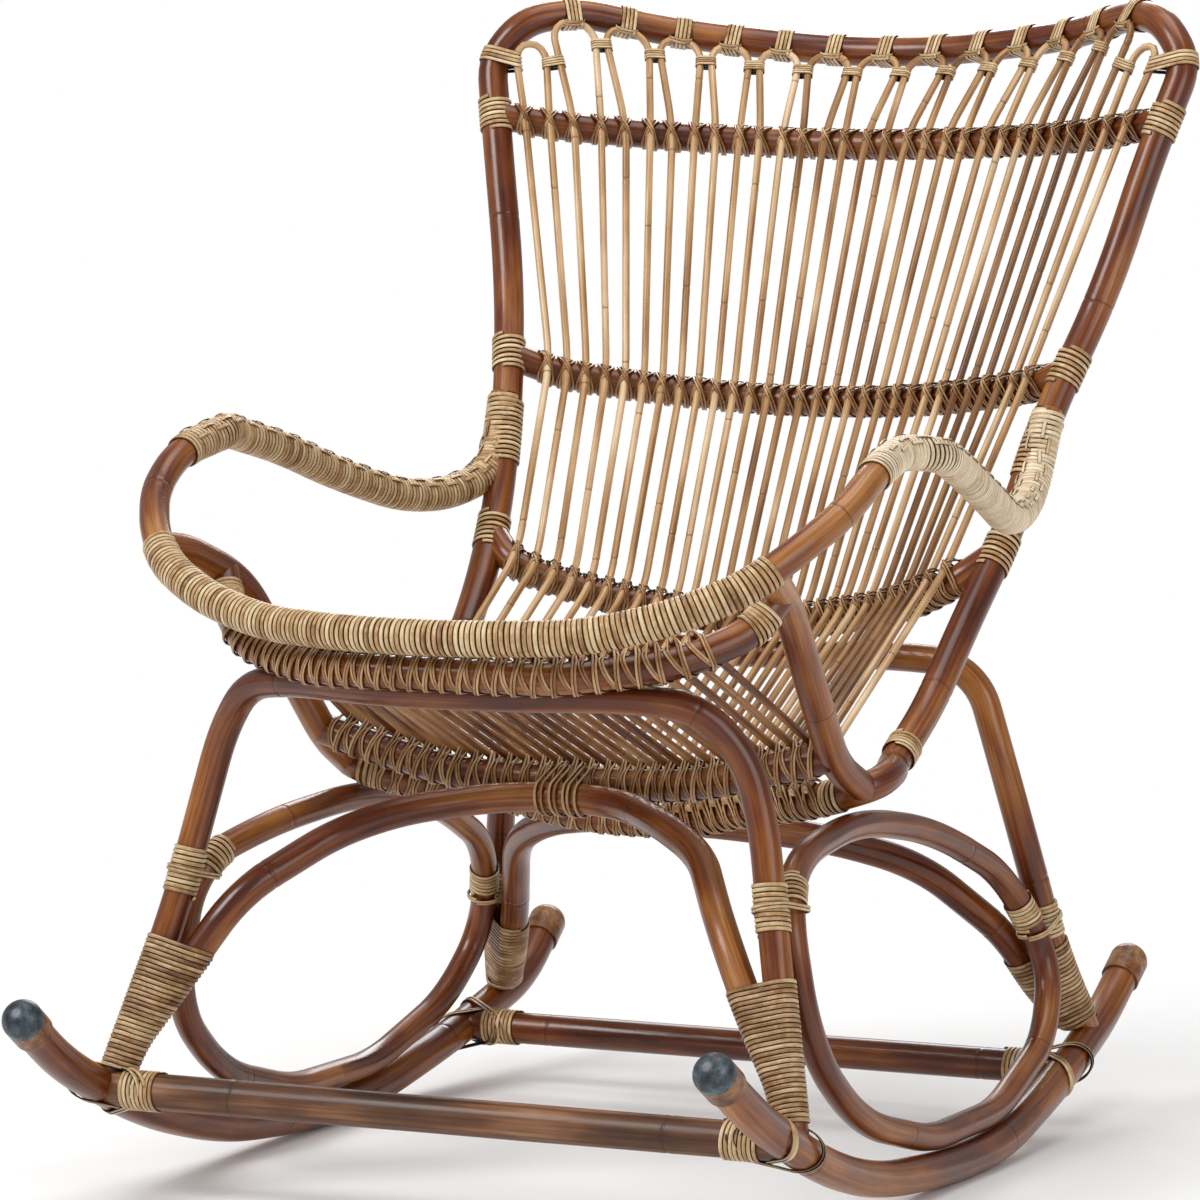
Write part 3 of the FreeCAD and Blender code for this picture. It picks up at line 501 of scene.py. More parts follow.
def seat_rod(share):
    front_reach = front_rail_half[1][0] - 2 * seat_rail_radius
    rear_reach = rear_rail_half[0][0] - side_rail_radius - 2 * rod_radius
    front = front_rail.at_side(share * front_reach, front_rail_middle)
    rear = rear_rail.at_side(share * rear_reach, rear_rail_half[-1])
    ends = [lean(front_rail, front, front, rear, up), lean(rear_rail, rear, front, rear, up)]
    heading = unit(ends[1] - ends[0]) * rod_overhang
    return Pole([ends[0] - heading, ends[1] + heading], rod_radius, step=2 * line_step)


seat_rods = [seat_rod((2 * i + 1 - seat_rod_count) / (seat_rod_count - 1)) for i in range(seat_rod_count)]


# Meshes

# Outline of a split cane: widths from -1/2 to 1/2 and heights from 0 to 1
strand_outline = ((0.4, 0.0), (-0.4, 0.0), (-0.5, 0.35), (-0.36, 0.82), (-0.12, 1.0), (0.12, 1.0),
                  (0.36, 0.82), (0.5, 0.35))
# The middle of its outwards side, as a share of the way round
outline_middle = 4.5 / len(strand_outline)

# Growth rings: where a tube has points beside one, and its groove and swells as depth, place and width
ring_offsets = (-0.004, -0.002, -0.001, 0, 0.001, 0.002, 0.004)
ring_forms = ((0.00025, 0, 0.0012), (-0.00012, 0.0035, 0.002))
tube_step = 0.006
uneven_share = 0.006
least_step = 1e-5


class Piece:
    """Points, faces and attributes of one visible piece, gathered from its tubes and strands."""

    def __init__(self):
        self.points, self.quads, self.fans = [], [], []
        self.quad_maps, self.fan_maps = [], []
        self.seeds, self.rings = [], []
        self.count = 0

    def add_points(self, points, seed, ring):
        start = self.count
        self.points.append(points)
        self.seeds.append(np.full(len(points), seed))
        self.rings.append(np.broadcast_to(ring, (len(points),)))
        self.count += len(points)
        return start

    def net(self, rows, around, along, seed, ring, closed):
        """A net of points, rows along a line and columns round it, with its ends closed by fans."""
        many, columns = rows.shape[:2]
        ring = np.repeat(np.broadcast_to(ring, (many,)), columns)
        start = self.add_points(rows.reshape(-1, 3), seed, ring)
        i = np.arange(many if closed else many - 1)[:, None]
        j = np.arange(columns)[None, :]
        following, beyond = (i + 1) % many, (j + 1) % columns
        corners = [i * columns + j, i * columns + beyond, following * columns + beyond, following * columns + j]
        quads = np.stack([np.broadcast_to(c, (len(i), columns)) for c in corners], axis=-1).reshape(-1, 4)
        self.quads.append(quads + start)
        along_after = np.append(along, along[-1] + (along[1] - along[0]))
        turn_ends = np.stack([around[:-1], around[1:], around[1:], around[:-1]], axis=-1)
        along_ends = np.stack([along_after[i[:, 0]], along_after[i[:, 0]], along_after[i[:, 0] + 1],
                               along_after[i[:, 0] + 1]], axis=-1)
        maps = np.stack(np.broadcast_arrays(turn_ends[None, :, :], along_ends[:, None, :]), axis=-1)
        self.quad_maps.append(maps.reshape(-1, 4, 2))
        if not closed:
            for row, flip in ((0, True), (many - 1, False)):
                middle = self.add_points(rows[row].mean(axis=0)[None, :], seed, ring[row * columns])
                edge = start + row * columns + np.arange(columns)
                nexts = np.roll(edge, -1)
                fan = np.stack([np.full(columns, middle), nexts, edge] if flip else
                               [np.full(columns, middle), edge, nexts], axis=1)
                self.fans.append(fan)
                place_along = np.full((columns, 3), along[row])
                turns = np.stack([around[:-1]] * 3, axis=1)
                self.fan_maps.append(np.stack([turns, place_along], axis=2))

    def tube(self, pole, seed, sides, growth, bevel):
        """A round tube along a pole, a little uneven, with growth rings at the given places."""
        length = pole.length
        stations = list(np.linspace(0, length, max(2, round(length / tube_step) + 1)))
        stations += [here + offset for here in growth for offset in ring_offsets]
        if not pole.closed:
            stations += [bevel * 0.3, bevel, length - bevel, length - bevel * 0.3]
        stations = np.unique(np.clip(stations, 0, length))
        stations = stations[np.concatenate(([True], np.diff(stations) > least_step))]
        radii = np.full(len(stations), pole.radius)
        nearest = np.full(len(stations), 1.0)
        for here in growth:
            away = np.abs(stations - here)
            radii -= sum(depth * np.exp(-((away - middle) / wide) ** 2) for depth, middle, wide in ring_forms)
            nearest = np.minimum(nearest, away)
        radii -= uneven_share * pole.radius * (
            1 + np.sin(stations * 31 + seed * 40) * np.sin(stations * 13 + seed * 90))
        middles, normals, others = pole.spots(stations)
        if pole.closed:
            middles, normals, others = middles[:-1], normals[:-1], others[:-1]
            stations, radii, nearest = stations[:-1], radii[:-1], nearest[:-1]
        else:
            inset = np.clip(np.minimum(stations, length - stations) / bevel, 0, 1)
            radii -= bevel * (1 - np.sqrt(1 - (1 - inset) ** 2))
        turns = np.linspace(0, 1, sides + 1)
        angles = turns[:-1] * 2 * math.pi
        spokes = np.cos(angles)[:, None] * normals[:, None, :] + np.sin(angles)[:, None] * others[:, None, :]
        self.net(middles[:, None, :] + radii[:, None, None] * spokes, turns, stations, seed, nearest, pole.closed)

    def strand(self, line, outwards, width, thick, closed=False):
        """A split cane along points, its flat side inwards and its round side outwards."""
        tangents = tangents_of(line, closed)
        outwards = units(outwards - tangents * np.sum(outwards * tangents, axis=1, keepdims=True))
        across = np.cross(tangents, outwards)
        turns = np.linspace(0, 1, len(strand_outline) + 1)
        rows = np.stack([line + outwards * thick * high + across * width * wide
                         for wide, high in strand_outline], axis=1)
        self.net(rows, turns, lengths_along(line), random.uniform(), 1.0, closed)

    def finish(self, name, slot, material, node):
        """The piece as an object that rides on the chair and stands for a node of the frame."""
        mesh = bpy.data.meshes.new(name)
        points = np.concatenate(self.points)
        quads = np.concatenate(self.quads)
        fans = np.concatenate(self.fans) if self.fans else np.zeros((0, 3), int)
        mesh.vertices.add(len(points))
        mesh.vertices.foreach_set("co", points.astype(np.float32).ravel())
        loops = np.concatenate((quads.ravel(), fans.ravel()))
        mesh.loops.add(len(loops))
        mesh.loops.foreach_set("vertex_index", loops.astype(np.int32))
        sizes = np.concatenate((np.full(len(quads), 4), np.full(len(fans), 3)))
        mesh.polygons.add(len(sizes))
        mesh.polygons.foreach_set("loop_start", (np.cumsum(sizes) - sizes).astype(np.int32))
        mesh.polygons.foreach_set("loop_total", sizes.astype(np.int32))
        mesh.polygons.foreach_set("use_smooth", np.ones(len(sizes), bool))
        layer = mesh.uv_layers.new(name="UVMap")
        maps = [m.reshape(-1, 2) for m in self.quad_maps + self.fan_maps]
        mesh.update(calc_edges=True)
        layer.data.foreach_set("uv", np.concatenate(maps).astype(np.float32).ravel())
        for label, values in (("seed", self.seeds), ("ring", self.rings)):
            attribute = mesh.attributes.new(label, "FLOAT", "POINT")
            attribute.data.foreach_set("value", np.concatenate(values).astype(np.float32))
        mesh.validate()
        mesh.materials.append(material)
        piece = bpy.data.objects.new(name, mesh)
        bpy.context.scene.collection.objects.link(piece)
        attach(piece, "root")
        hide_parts(node)


# Materials

def tones(codes):
    """Colours written as six hexadecimal digits each, as linear values."""
    made = []
    for code in codes.split():
        channels = [int(code[i:i + 2], 16) / 255 for i in (0, 2, 4)]
        made.append((*[c / 12.92 if c <= 0.04045 else ((c + 0.055) / 1.055) ** 2.4 for c in channels], 1.0))
    return made


class Finish:
    """A material's node tree, built by short calls."""

    def __init__(self, name, **settings):
        self.material = bpy.data.materials.new(name)
        self.material.use_nodes = True
        self.tree = self.material.node_tree
        self.shader = self.tree.nodes["Principled BSDF"]
        for socket, value in (("Specular IOR Level", 0.38),) + tuple(settings.items()):
            self.set(socket.replace("_", " "), value)

    def set(self, socket, value):
        self.feed(self.shader.inputs[socket], value)

    def node(self, kind, inputs, **settings):
        made = self.tree.nodes.new(kind)
        for key, value in settings.items():
            setattr(made, key, value)
        for key, value in inputs.items():
            self.feed(made.inputs[key], value)
        return made

    def feed(self, socket, value):
        if isinstance(value, bpy.types.NodeSocket):
            self.tree.links.new(value, socket)
        else:
            socket.default_value = value

    def math(self, operation, a, b=0.0, c=0.0, clamp=False):
        return self.node("ShaderNodeMath", {0: a, 1: b, 2: c}, operation=operation, use_clamp=clamp).outputs[0]

    def times(self, a, b, clamp=False):
        return self.math("MULTIPLY", a, b, clamp=clamp)

    def weighted(self, *parts):
        """The sum of values, each times its weight."""
        total = 0.0
        for value, weight in parts:
            total = self.math("MULTIPLY_ADD", value, weight, total)
        return total

    def attribute(self, name):
        return self.node("ShaderNodeAttribute", {}, attribute_name=name).outputs["Fac"]

    def split(self, vector):
        return self.node("ShaderNodeSeparateXYZ", {0: vector}).outputs

    def map_parts(self):
        """The shares across or round the piece, and the metres along it."""
        across, along, _ = self.split(self.node("ShaderNodeUVMap", {}, uv_map="UVMap").outputs[0])
        return across, along

    def vector(self, x, y, z):
        return self.node("ShaderNodeCombineXYZ", {0: x, 1: y, 2: z}).outputs[0]

    def noise(self, vector, scale, detail, rough):
        inputs = {"Vector": vector, "Scale": scale, "Detail": detail, "Roughness": rough}
        return self.node("ShaderNodeTexNoise", inputs).outputs[0]

    def ramp(self, factor, stops, smooth=False):
        made = self.node("ShaderNodeValToRGB", {0: factor})
        if smooth:
            made.color_ramp.interpolation = "EASE"
        elements = made.color_ramp.elements
        while len(elements) < len(stops):
            elements.new(0.5)
        for element, (position, colour) in zip(elements, stops):
            element.position = position
            element.color = colour if isinstance(colour, tuple) else (colour, colour, colour, 1.0)
        return made.outputs[0]

    def mix(self, factor, a, b, blend="MIX"):
        made = self.node("ShaderNodeMix", {0: factor, 6: a, 7: b}, data_type="RGBA", blend_type=blend)
        return made.outputs[2]

    def bump(self, height, strength, distance):
        made = self.node("ShaderNodeBump", {"Height": height, "Strength": strength, "Distance": distance})
        self.set("Normal", made.outputs[0])

    def cloudy(self, place_on, scale, detail, rough, stops, codes):
        """A noise, and the colours of tones spread over it."""
        cloud = self.noise(place_on, scale, detail, rough)
        return cloud, self.ramp(cloud, list(zip(stops, tones(codes))))

    def round_space(self, radius):
        """A point on a straight tube for each point of the piece, so that grain follows every bend."""
        around, along = self.map_parts()
        angle = self.times(around, 2 * math.pi)
        x = self.times(self.math("COSINE", angle), radius)
        y = self.times(self.math("SINE", angle), radius)
        offset = self.times(self.attribute("seed"), 7.0)
        return x, y, self.math("ADD", along, offset)

    def stretched(self, parts, around_scale, along_scale, detail, rough):
        """A noise with one scale round a pole and another along it."""
        scales = (around_scale, around_scale, along_scale)
        return self.noise(self.vector(*[self.times(part, scale) for part, scale in zip(parts, scales)]),
                          1.0, detail, rough)


def pole_finish(name, codes, radius, ring_code, roughness, coat, fine=900.0, spread=0.10):
    """Lacquered rattan: long streaks, darker patches of stain, fine grain and growth rings."""
    finish = Finish(name, Roughness=roughness, Coat_Weight=coat, Coat_Roughness=0.12)
    parts = finish.round_space(radius)
    streaks = finish.stretched(parts, 260.0, 5.0, 5.0, 0.6)
    patches = finish.stretched(parts, 40.0, 9.0, 3.0, 0.5)
    grain = finish.stretched(parts, fine, 22.0, 2.0, 0.6)
    seed_offset = finish.math("SUBTRACT", finish.attribute("seed"), 0.5)
    blend = finish.weighted((streaks, 0.4), (patches, 0.6), (seed_offset, spread))
    colour = finish.ramp(blend, list(zip((0.32, 0.45, 0.55, 0.68), tones(codes))))
    colour = finish.mix(1.0, colour, finish.ramp(grain, [(0.32, 0.7), (0.48, 1.0)]), "MULTIPLY")
    ring = finish.times(finish.attribute("ring"), 200.0, clamp=True)
    ring = finish.ramp(ring, [(0.0, 0.7), (0.12, 0.45), (0.26, 0.0), (1.0, 0.0)])
    finish.set("Base Color", finish.mix(ring, colour, tones(ring_code)[0]))
    finish.set("Roughness", finish.ramp(patches, [(0.3, roughness - 0.06), (0.7, roughness + 0.12)]))
    finish.bump(finish.math("MULTIPLY_ADD", streaks, 0.6, grain), 0.18, 0.0004)
    return finish.material


def cane_finish(name, codes):
    """Split cane of light, middle and dark lengths with fibres along them, and painted shade on its sides and
    inner face, where the strands meet each other and the pole.
    """
    finish = Finish(name, Roughness=0.42, Coat_Weight=0.25, Coat_Roughness=0.2)
    light, middle, dark, gap = tones(codes)
    across, along = finish.map_parts()
    seed = finish.attribute("seed")
    along = finish.math("MULTIPLY_ADD", seed, 7.0, along)
    lengths = finish.noise(finish.vector(finish.times(seed, 50.0), along, 0.0), 16.0, 3.0, 0.6)
    fibres = finish.vector(finish.times(across, 22.0), finish.times(along, 30.0), seed)
    fibres = finish.noise(fibres, 1.0, 3.0, 0.65)
    blotches = finish.noise(finish.vector(across, finish.times(along, 260.0), seed), 1.0, 2.0, 0.6)
    blend = finish.weighted((lengths, 0.6), (fibres, 0.25), (blotches, 0.15))
    colour = finish.ramp(blend, [(0.36, dark), (0.47, middle), (0.60, light)])
    colour = finish.mix(1.0, colour, finish.ramp(fibres, [(0.3, 0.7), (0.5, 1.0)]), "MULTIPLY")
    # Painted shade: the sides and the inner face of each strand take the last, darkest tone, where the strands
    # meet each other and the pole.
    side = finish.math("ABSOLUTE", finish.math("SUBTRACT", across, outline_middle))
    finish.set("Base Color", finish.mix(finish.ramp(side, [(0.17, 0.0), (0.27, 1.0)]), colour, gap))
    finish.bump(fibres, 0.25, 0.0003)
    return finish.material


pole_material = pole_finish("brown_pole", "3c1604 642b08 864a15 ac7238", 0.0125, "3c1c0b", 0.30, 0.25)
bark_material = pole_finish("bark_pole", "33190a 603a1e 83583a a58260", 0.0148, "2c1a10", 0.5, 0.15, 700.0)
rod_material = pole_finish("tan_rod", "68411f 966a3d bb9263 dec29c", 0.0033, "5a351a", 0.4, 0.2, 1500.0, 0.2)
# The seat rods take darker copies of the tan rod's tones: painted shade for the rods under the seat.
shaded_seat_rod_material = pole_finish("seat_rod", "46200a 74421c 9c6c3e c49c6c", 0.0033, "4a2410", 0.4, 0.2, 1500.0, 0.2)
# The last tone of each cane list is the painted shade on the strands' sides and inner faces.
cane_material = cane_finish("straw_cane", "e2c99e b89160 774c24 241005")
pale_material = cane_finish("pale_cane", "f2e2c4 dcc4a0 b09068 4a2c16")
cone_material = cane_finish("stained_cane", "d0b086 987042 5a3213 1d0b04")
tie_material = cane_finish("tie_cane", "c9a274 9a6c3c 693d1c 28120a")


def cap_finish(name, codes, roughness, points, depth):
    """A cap with its own colour from its tip to a depth and the pole's colour beyond, on both sides."""
    finish = Finish(name, Roughness=roughness, Coat_Weight=0.2, Coat_Roughness=0.2)
    heading = unit(points[0] - points[1])
    place_on = finish.node("ShaderNodeTexCoord", {}).outputs["Object"]
    cloud, colour = finish.cloudy(place_on, 90.0, 5.0, 0.65, (0.35, 0.5, 0.68), codes)
    sleeve = finish.ramp(cloud, list(zip((0.35, 0.5, 0.68), tones("4a2510 74451f 9a6c42"))))
    specks = finish.noise(place_on, 900.0, 2.0, 0.5)
    x, y, z = finish.split(place_on)
    both_sides = finish.vector(finish.math("ABSOLUTE", x), y, z)
    way = finish.node("ShaderNodeVectorMath", {0: both_sides, 1: Vector(heading)}, operation="DOT_PRODUCT")
    beyond = finish.math("SUBTRACT", float(points[0].dot(heading)) - depth, way.outputs["Value"])
    beyond = finish.math("MULTIPLY_ADD", cloud, 0.002, beyond)
    finish.set("Base Color", finish.mix(finish.times(beyond, 900.0, clamp=True), colour, sleeve))
    finish.bump(finish.math("MULTIPLY_ADD", specks, 0.4, cloud), 0.2, 0.0005)
    return finish.material


dark_cap_material = cap_finish("dark_cap", "161c22 2f3a43 58646c", 0.42, rocker_points, 0.006)
brown_cap_material = cap_finish("brown_cap", "5a361c 835a34 a98058", 0.38, rocker_points[::-1], 0.012)


# Poles

def growth_places(pole, seed, gap):
    """Uneven places along a pole of its growth rings."""
    places, here = [], gap * (0.25 + 0.5 * seed)
    while here < pole.length - 0.02:
        places.append(here)
        here += gap * random.uniform(0.75, 1.3)
    return places


def tubes_piece(name, poles, node, slot, material, sides, gap, bevel):
    piece = Piece()
    for pole in poles:
        seed = random.uniform()
        piece.tube(pole, seed, sides, growth_places(pole, seed, gap), bevel)
    piece.finish(name, slot, material, node)


def pole_piece(name, pole, material=pole_material, slot="brown_pole"):
    tubes_piece(name + "_pole", [pole], name, slot, material, 24, 0.34, 0.0012)


def rod_piece(name, rods, node, material):
    tubes_piece(name, rods, node, "tan_rod", material, 10, 0.19, 0.0006)


def mirrored(pole):
    """The same pole on the other side of the chair."""
    other = Pole.__new__(Pole)
    other.radius, other.closed, other.along, other.length = pole.radius, pole.closed, pole.along, pole.length
    other.line, other.tangents, other.normals = mirror(pole.line), mirror(pole.tangents), mirror(pole.normals)
    other.sides = np.cross(other.tangents, other.normals)
    return other


def unchanged(form):
    return form


for side, flip in (("right", unchanged), ("left", mirrored)):
    pole_piece("rocker_" + side, flip(rocker))
    pole_piece("side_ring_" + side, flip(ring))
    pole_piece("seat_side_rail_" + side, flip(side_rail))
for name, pole in (("front_leg_arch", front_leg), ("rear_leg_arch", rear_leg), ("front_brace_arch", front_brace),
                   ("rear_brace_arch", rear_brace), ("rear_stretcher", rear_stretcher), ("back_frame_hoop", hoop),
                   ("back_bottom_rail", bottom_rail), ("upper_back_rail", upper_rail),
                   ("middle_back_rail", middle_rail), ("lower_back_rail", lower_rail),
                   ("arm_and_front_pole", arm), ("seat_front_rail", front_rail), ("seat_rear_rail", rear_rail)):
    pole_piece(name, pole)
pole_piece("front_stretcher", front_stretcher, bark_material, "bark_pole")
rod_piece("back_spindle_rods", hairpins, "back_spindles", rod_material)
rod_piece("seat_bottom_rods", seat_rods, "seat_rods", shaded_seat_rod_material)


# Cane

strand_width = cane_pitch * 0.97
strand_thick = 0.0016
points_per_turn = 26
lashing_points_per_turn = 36
wobble = 0.00015
strand_lift = 0.0001


def wound(piece, pole, start, end, turns, width=strand_width, thick=strand_thick):
    """A split cane wound round a pole between two distances along it."""
    share = np.linspace(0, 1, round(turns * points_per_turn) + 1)
    angles = share * turns * 2 * math.pi
    stations = start + (end - start) * share + wobble * np.sin(angles * 0.37 + start * 900)
    middles, normals, sides = pole.spots(stations)
    outwards = np.cos(angles)[:, None] * normals + np.sin(angles)[:, None] * sides
    piece.strand(middles + outwards * (pole.radius + strand_lift), outwards, width, thick)


def belt(shapes, angle):
    """Where a taut belt round ellipses in a plane is, seen at an angle, and which of them it lies on."""
    way = np.array((math.cos(angle), math.sin(angle)))
    points = []
    for middle, halves in shapes:
        points.append(halves ** 2 * way / np.linalg.norm(halves * way) + middle)
    chosen = int(np.argmax([point.dot(way) for point in points]))
    return points[chosen], way, chosen


def lashed(piece, first, second, start, end, turns, width=strand_width, thick=0.0015, lift=0.0002, slanted=False):
    """A split cane wound round two poles side by side, or slanted over both where they meet."""
    axis = unit(end - start)
    stations = np.linspace(0, 1, 2 * math.ceil(turns) + 1)
    ones, twos = [], []
    for share in stations:
        point = start + (end - start) * share
        one = first.crossing(point, axis)
        two = second.crossing(point, axis, one[0])
        ones.append((*one[0], first.radius / abs(one[1].dot(axis))))
        twos.append((*two[0], second.radius / abs(two[1].dot(axis))))
    over = square_to(np.array(twos[0][:3]) - ones[0][:3], axis)
    plane = np.stack([over, np.cross(axis, over)], axis=1)
    count = round(turns * lashing_points_per_turn)
    line, outwards, before = [], [], None
    for share in np.arange(count + 1) / count:
        here = start + (end - start) * share
        shapes = []
        for found, pole in ((ones, first), (twos, second)):
            *middle, reach = at_stations(np.array(found), stations, np.array([share]))[0]
            halves = (reach, pole.radius) if slanted else ((pole.radius + reach) / 2,) * 2
            shapes.append(((middle - here) @ plane, np.array(halves) + lift))
        point, way, chosen = belt(shapes, share * turns * 2 * math.pi)
        spot, outward = here + plane @ point, plane @ way
        steps = (0.25, 0.5, 0.75, 1) if before and chosen != before[1] else (1,)
        line += [spot if step == 1 else before[0] + (spot - before[0]) * step for step in steps]
        outwards += [outward] * len(steps)
        before = (spot, chosen)
    piece.strand(np.array(line), np.array(outwards), width, thick)


def cane_piece(name, node, build, *values, material=cane_material, slot="straw_cane"):
    piece = Piece()
    build(piece, *values)
    piece.finish(name, slot, material, node)


# Wrapping of the front edge and of the arms
edge_pitch = 0.0044
edge_width = edge_pitch * 0.95
edge_thick = 0.0019
edge_end = arm.station_of(arm_half[9] * 0.6 + arm_half[10] * 0.4)
edge_start = arm.length - edge_end
cane_piece("front_edge_strands", "front_edge_wrap", wound, arm, edge_start, edge_end,
           (edge_end - edge_start) / edge_pitch, edge_width, edge_thick)
arm_start = arm.station_of(arm_half[7])
arm_stop = arm.length - 0.004
arm_turns = (arm_stop - arm_start) / edge_pitch

# Raised strands along an arm: degrees from its top, and turns from one to the next and under each
raised_angles = (-52, -26, 26, 52)
raised_gap = 6
raised_turns = 3.2
raised_points = 9
raised_height = 0.0008
raised_width = 0.0032
raised_thick = 0.0009


def arm_wrapping(piece, first, last):
    """Turns round an arm, with strands along it that pass over some of them."""
    wound(piece, arm, first, last, arm_turns, edge_width, edge_thick)
    pitch = (last - first) / arm_turns
    rise = edge_thick + raised_height * np.sin(np.linspace(0, math.pi, raised_points))
    for row, angle in enumerate(raised_angles):
        for turn in range(raised_gap + raised_gap // 2 * (row % 2), int(arm_turns) - 4, raised_gap):
            stations = np.linspace(first + pitch * turn, first + pitch * (turn + raised_turns), raised_points)
            headings = units(at_stations(arm.tangents, arm.along, stations))
            upward = units(up - headings * headings[:, 2:])
            turned = math.radians(angle)
            outwards = upward * math.cos(turned) + np.cross(headings, upward) * math.sin(turned)
            middles = arm.spots(stations)[0]
            piece.strand(middles + outwards * (arm.radius + rise)[:, None], outwards, raised_width, raised_thick)


cane_piece("arm_strands_right", "arm_wrap_right", arm_wrapping, arm_start, arm_stop,
           material=pale_material, slot="pale_cane")
cane_piece("arm_strands_left", "arm_wrap_left", arm_wrapping, arm.length - arm_stop, arm.length - arm_start)


# Lashings of the joints: shares of the height between which they lie, and numbers of turns
arm_joint_span = (0.582, 0.637)
arm_joint_turns = 13
post_band_turns = 7
stretcher_turns = 8
splice_turns = 5
corner_turns = 6

# Bands of a ring: how far from the leg one starts, its length, and the width of the strands across
ring_band_reach = 0.012
ring_band_length = 0.026
cross_width = 0.0026

# Straps over the rocker: how far from the joint they cross it, and half their spread
strap_reach = 0.014
strap_spread = 0.0035


def leg_points(leg, near, shares):
    return [leg.at_height(share * frame_height, near) for share in shares]


def arm_joint(piece, flip):
    low, high = leg_points(hoop, flip(post_near), arm_joint_span)
    lashed(piece, hoop, arm, high, low, arm_joint_turns)


def post_band(piece, flip, share):
    half = post_band_turns * cane_pitch / (2 * frame_height)
    low, high = leg_points(hoop, flip(post_near), (share - half, share + half))
    wound(piece, hoop, hoop.station_of(low), hoop.station_of(high), post_band_turns)


def cone(piece, flip, leg, brace_half, top_share):
    """Turns round a leg and the end of its brace, from a share of the height down to the rocker."""
    hand = flip(right)[0]
    leg_end = leg.length * (1 + hand) / 2
    foot, beyond = leg.spots(np.array([leg_end - hand * rocker_radius * 1.2, leg_end]))[0]
    toward = square_to(flip(brace_half[0]) - foot, unit(foot - beyond))
    guide = [beyond + toward * 0.001, foot + toward * 0.003] + [flip(point) for point in brace_half]
    high = leg_points(leg, flip(post_near), [top_share])[0]
    lashed(piece, leg, Pole(guide, leg_radius), high, foot, np.linalg.norm(high - foot) / cane_pitch)


def two_bands(piece, flip, loop, leg, near, shares, turns):
    """A band round a leg, one round the ring that leans on it, and strands across between them."""
    low, high = leg_points(leg, flip(near), shares)
    wound(piece, leg, leg.station_of(low), leg.station_of(high), turns)
    middle = (low + high) / 2
    touch = loop.station_of(middle)
    below, above = loop.spots(np.array([touch - ring_band_reach, touch + ring_band_reach]) % loop.length)[0]
    way = 1 if above[2] > below[2] else -1
    first, last = touch + way * ring_band_reach, touch + way * (ring_band_reach + ring_band_length)
    wound(piece, loop, first, last, ring_band_length / cane_pitch)
    first, last = middle + (high - low) * 0.1, middle - (high - low) * 0.05
    lashed(piece, leg, loop, first, last, 2, cross_width, lift=0.0019)


for side, flip, loop in (("right", np.array, ring), ("left", mirror, mirrored(ring))):
    cane_piece("arm_joint_wrap_strands_" + side, "arm_joint_wrap_" + side, arm_joint, flip)
    for name, share in (("upper_post_band", upper_joint_share), ("middle_post_band", middle_joint_share),
                        ("lower_post_band", lower_joint_share)):
        cane_piece(name + "_strands_" + side, name + "_" + side, post_band, flip, share)
    for name, *values in (("front_leg_lashing", front_leg, front_brace_half, 0.216),
                          ("rear_leg_lashing", rear_leg, rear_brace_half, 0.166)):
        cane_piece(name + "_strands_" + side, name + "_" + side, cone, flip, *values, material=cone_material)
    for name, *values in (("ring_front_lashing", front_leg, front_leg_half[1], (0.254, 0.291), 10),
                          ("ring_rear_lashing", rear_leg, rear_leg_half[1], (0.173, 0.203), 8)):
        cane_piece(name + "_strands_" + side, name + "_" + side, two_bands, flip, loop, *values)


def at_side_of(pole, station, hand):
    return station if hand > 0 else pole.length - station


def stretcher_band(piece, pole, hand):
    """Turns round a stretcher's end, and two straps that cross from it over the rocker."""
    first = at_side_of(pole, pole.length - rocker_radius - 2 * cane_pitch, hand)
    wound(piece, pole, first, first - hand * stretcher_turns * cane_pitch, stretcher_turns)
    beam = rocker if hand > 0 else mirrored(rocker)
    joint = beam.spots(np.array([beam.station_of(pole.line[-1 if hand > 0 else 0])]))[0][0]
    inner = pole.spots(np.array([first + hand * cane_pitch]))[0][0]
    for way in (-1, 1):
        over = joint + back * way * strap_reach
        across = unit(np.cross(inner - over, up)) * strap_spread
        lashed(piece, beam, pole, over - across, over + across, 2, lift=0.0008 + 0.0006 * way, slanted=True)


def splice_wound(piece, hand):
    reach = splice_turns * cane_pitch
    ends = [(splice_start + splice_heading * way * reach) * (hand, 1, 1) for way in (-1, 1)]
    wound(piece, Pole(ends, hoop_radius), reach / 2, reach * 3 / 2, splice_turns)


def end_band(piece, hand, pole, bend, following, reach, turns):
    """Turns round a pole from a reach beyond one of its bends back towards the bend."""
    station = pole.station_of(bend + unit(following - bend) * reach)
    first, last = [at_side_of(pole, here, hand) for here in (station, station - turns * cane_pitch)]
    wound(piece, pole, first, last, turns)


for side, hand in (("right", 1), ("left", -1)):
    for name, pole in (("front_stretcher", front_stretcher), ("rear_stretcher", rear_stretcher)):
        cane_piece(name + "_strands_" + side, name + "_lashing_" + side, stretcher_band, pole, hand)
    cane_piece("post_splice_strands_" + side, "post_splice_band_" + side, splice_wound, hand)
    for name, node, *values in (
            ("side_rail_foot", "side_rail_foot_band_", bottom_rail, *bottom_rail_half[4:6],
             2 * cane_pitch, foot_turns),
            ("front_corner", "front_corner_wrap_", front_rail, *front_rail_half[:2],
             side_rail_radius + cane_pitch, corner_turns)):
        cane_piece(name + "_strands_" + side, node + side, end_band, hand, *values)


# Ties of the rods to the rails: crossed pairs of strands, taut round rail and rod
belt_ways = 72


def taut(profile):
    """The places in a closed profile of (across, height) points that a taut belt rests on."""
    ways = np.linspace(0, 2 * math.pi, belt_ways, endpoint=False) + 0.01
    ways = np.stack([np.sin(ways), np.cos(ways)], axis=1)
    return np.unique(np.argmax(profile @ ways.T, axis=0))


tie_width = 0.0024
tie_thick = 0.0011
tie_top_angle = math.radians(40)
tie_cross = 0.0062
tie_scatter = 0.0006
tie_points = 90
tie_step = 0.0022

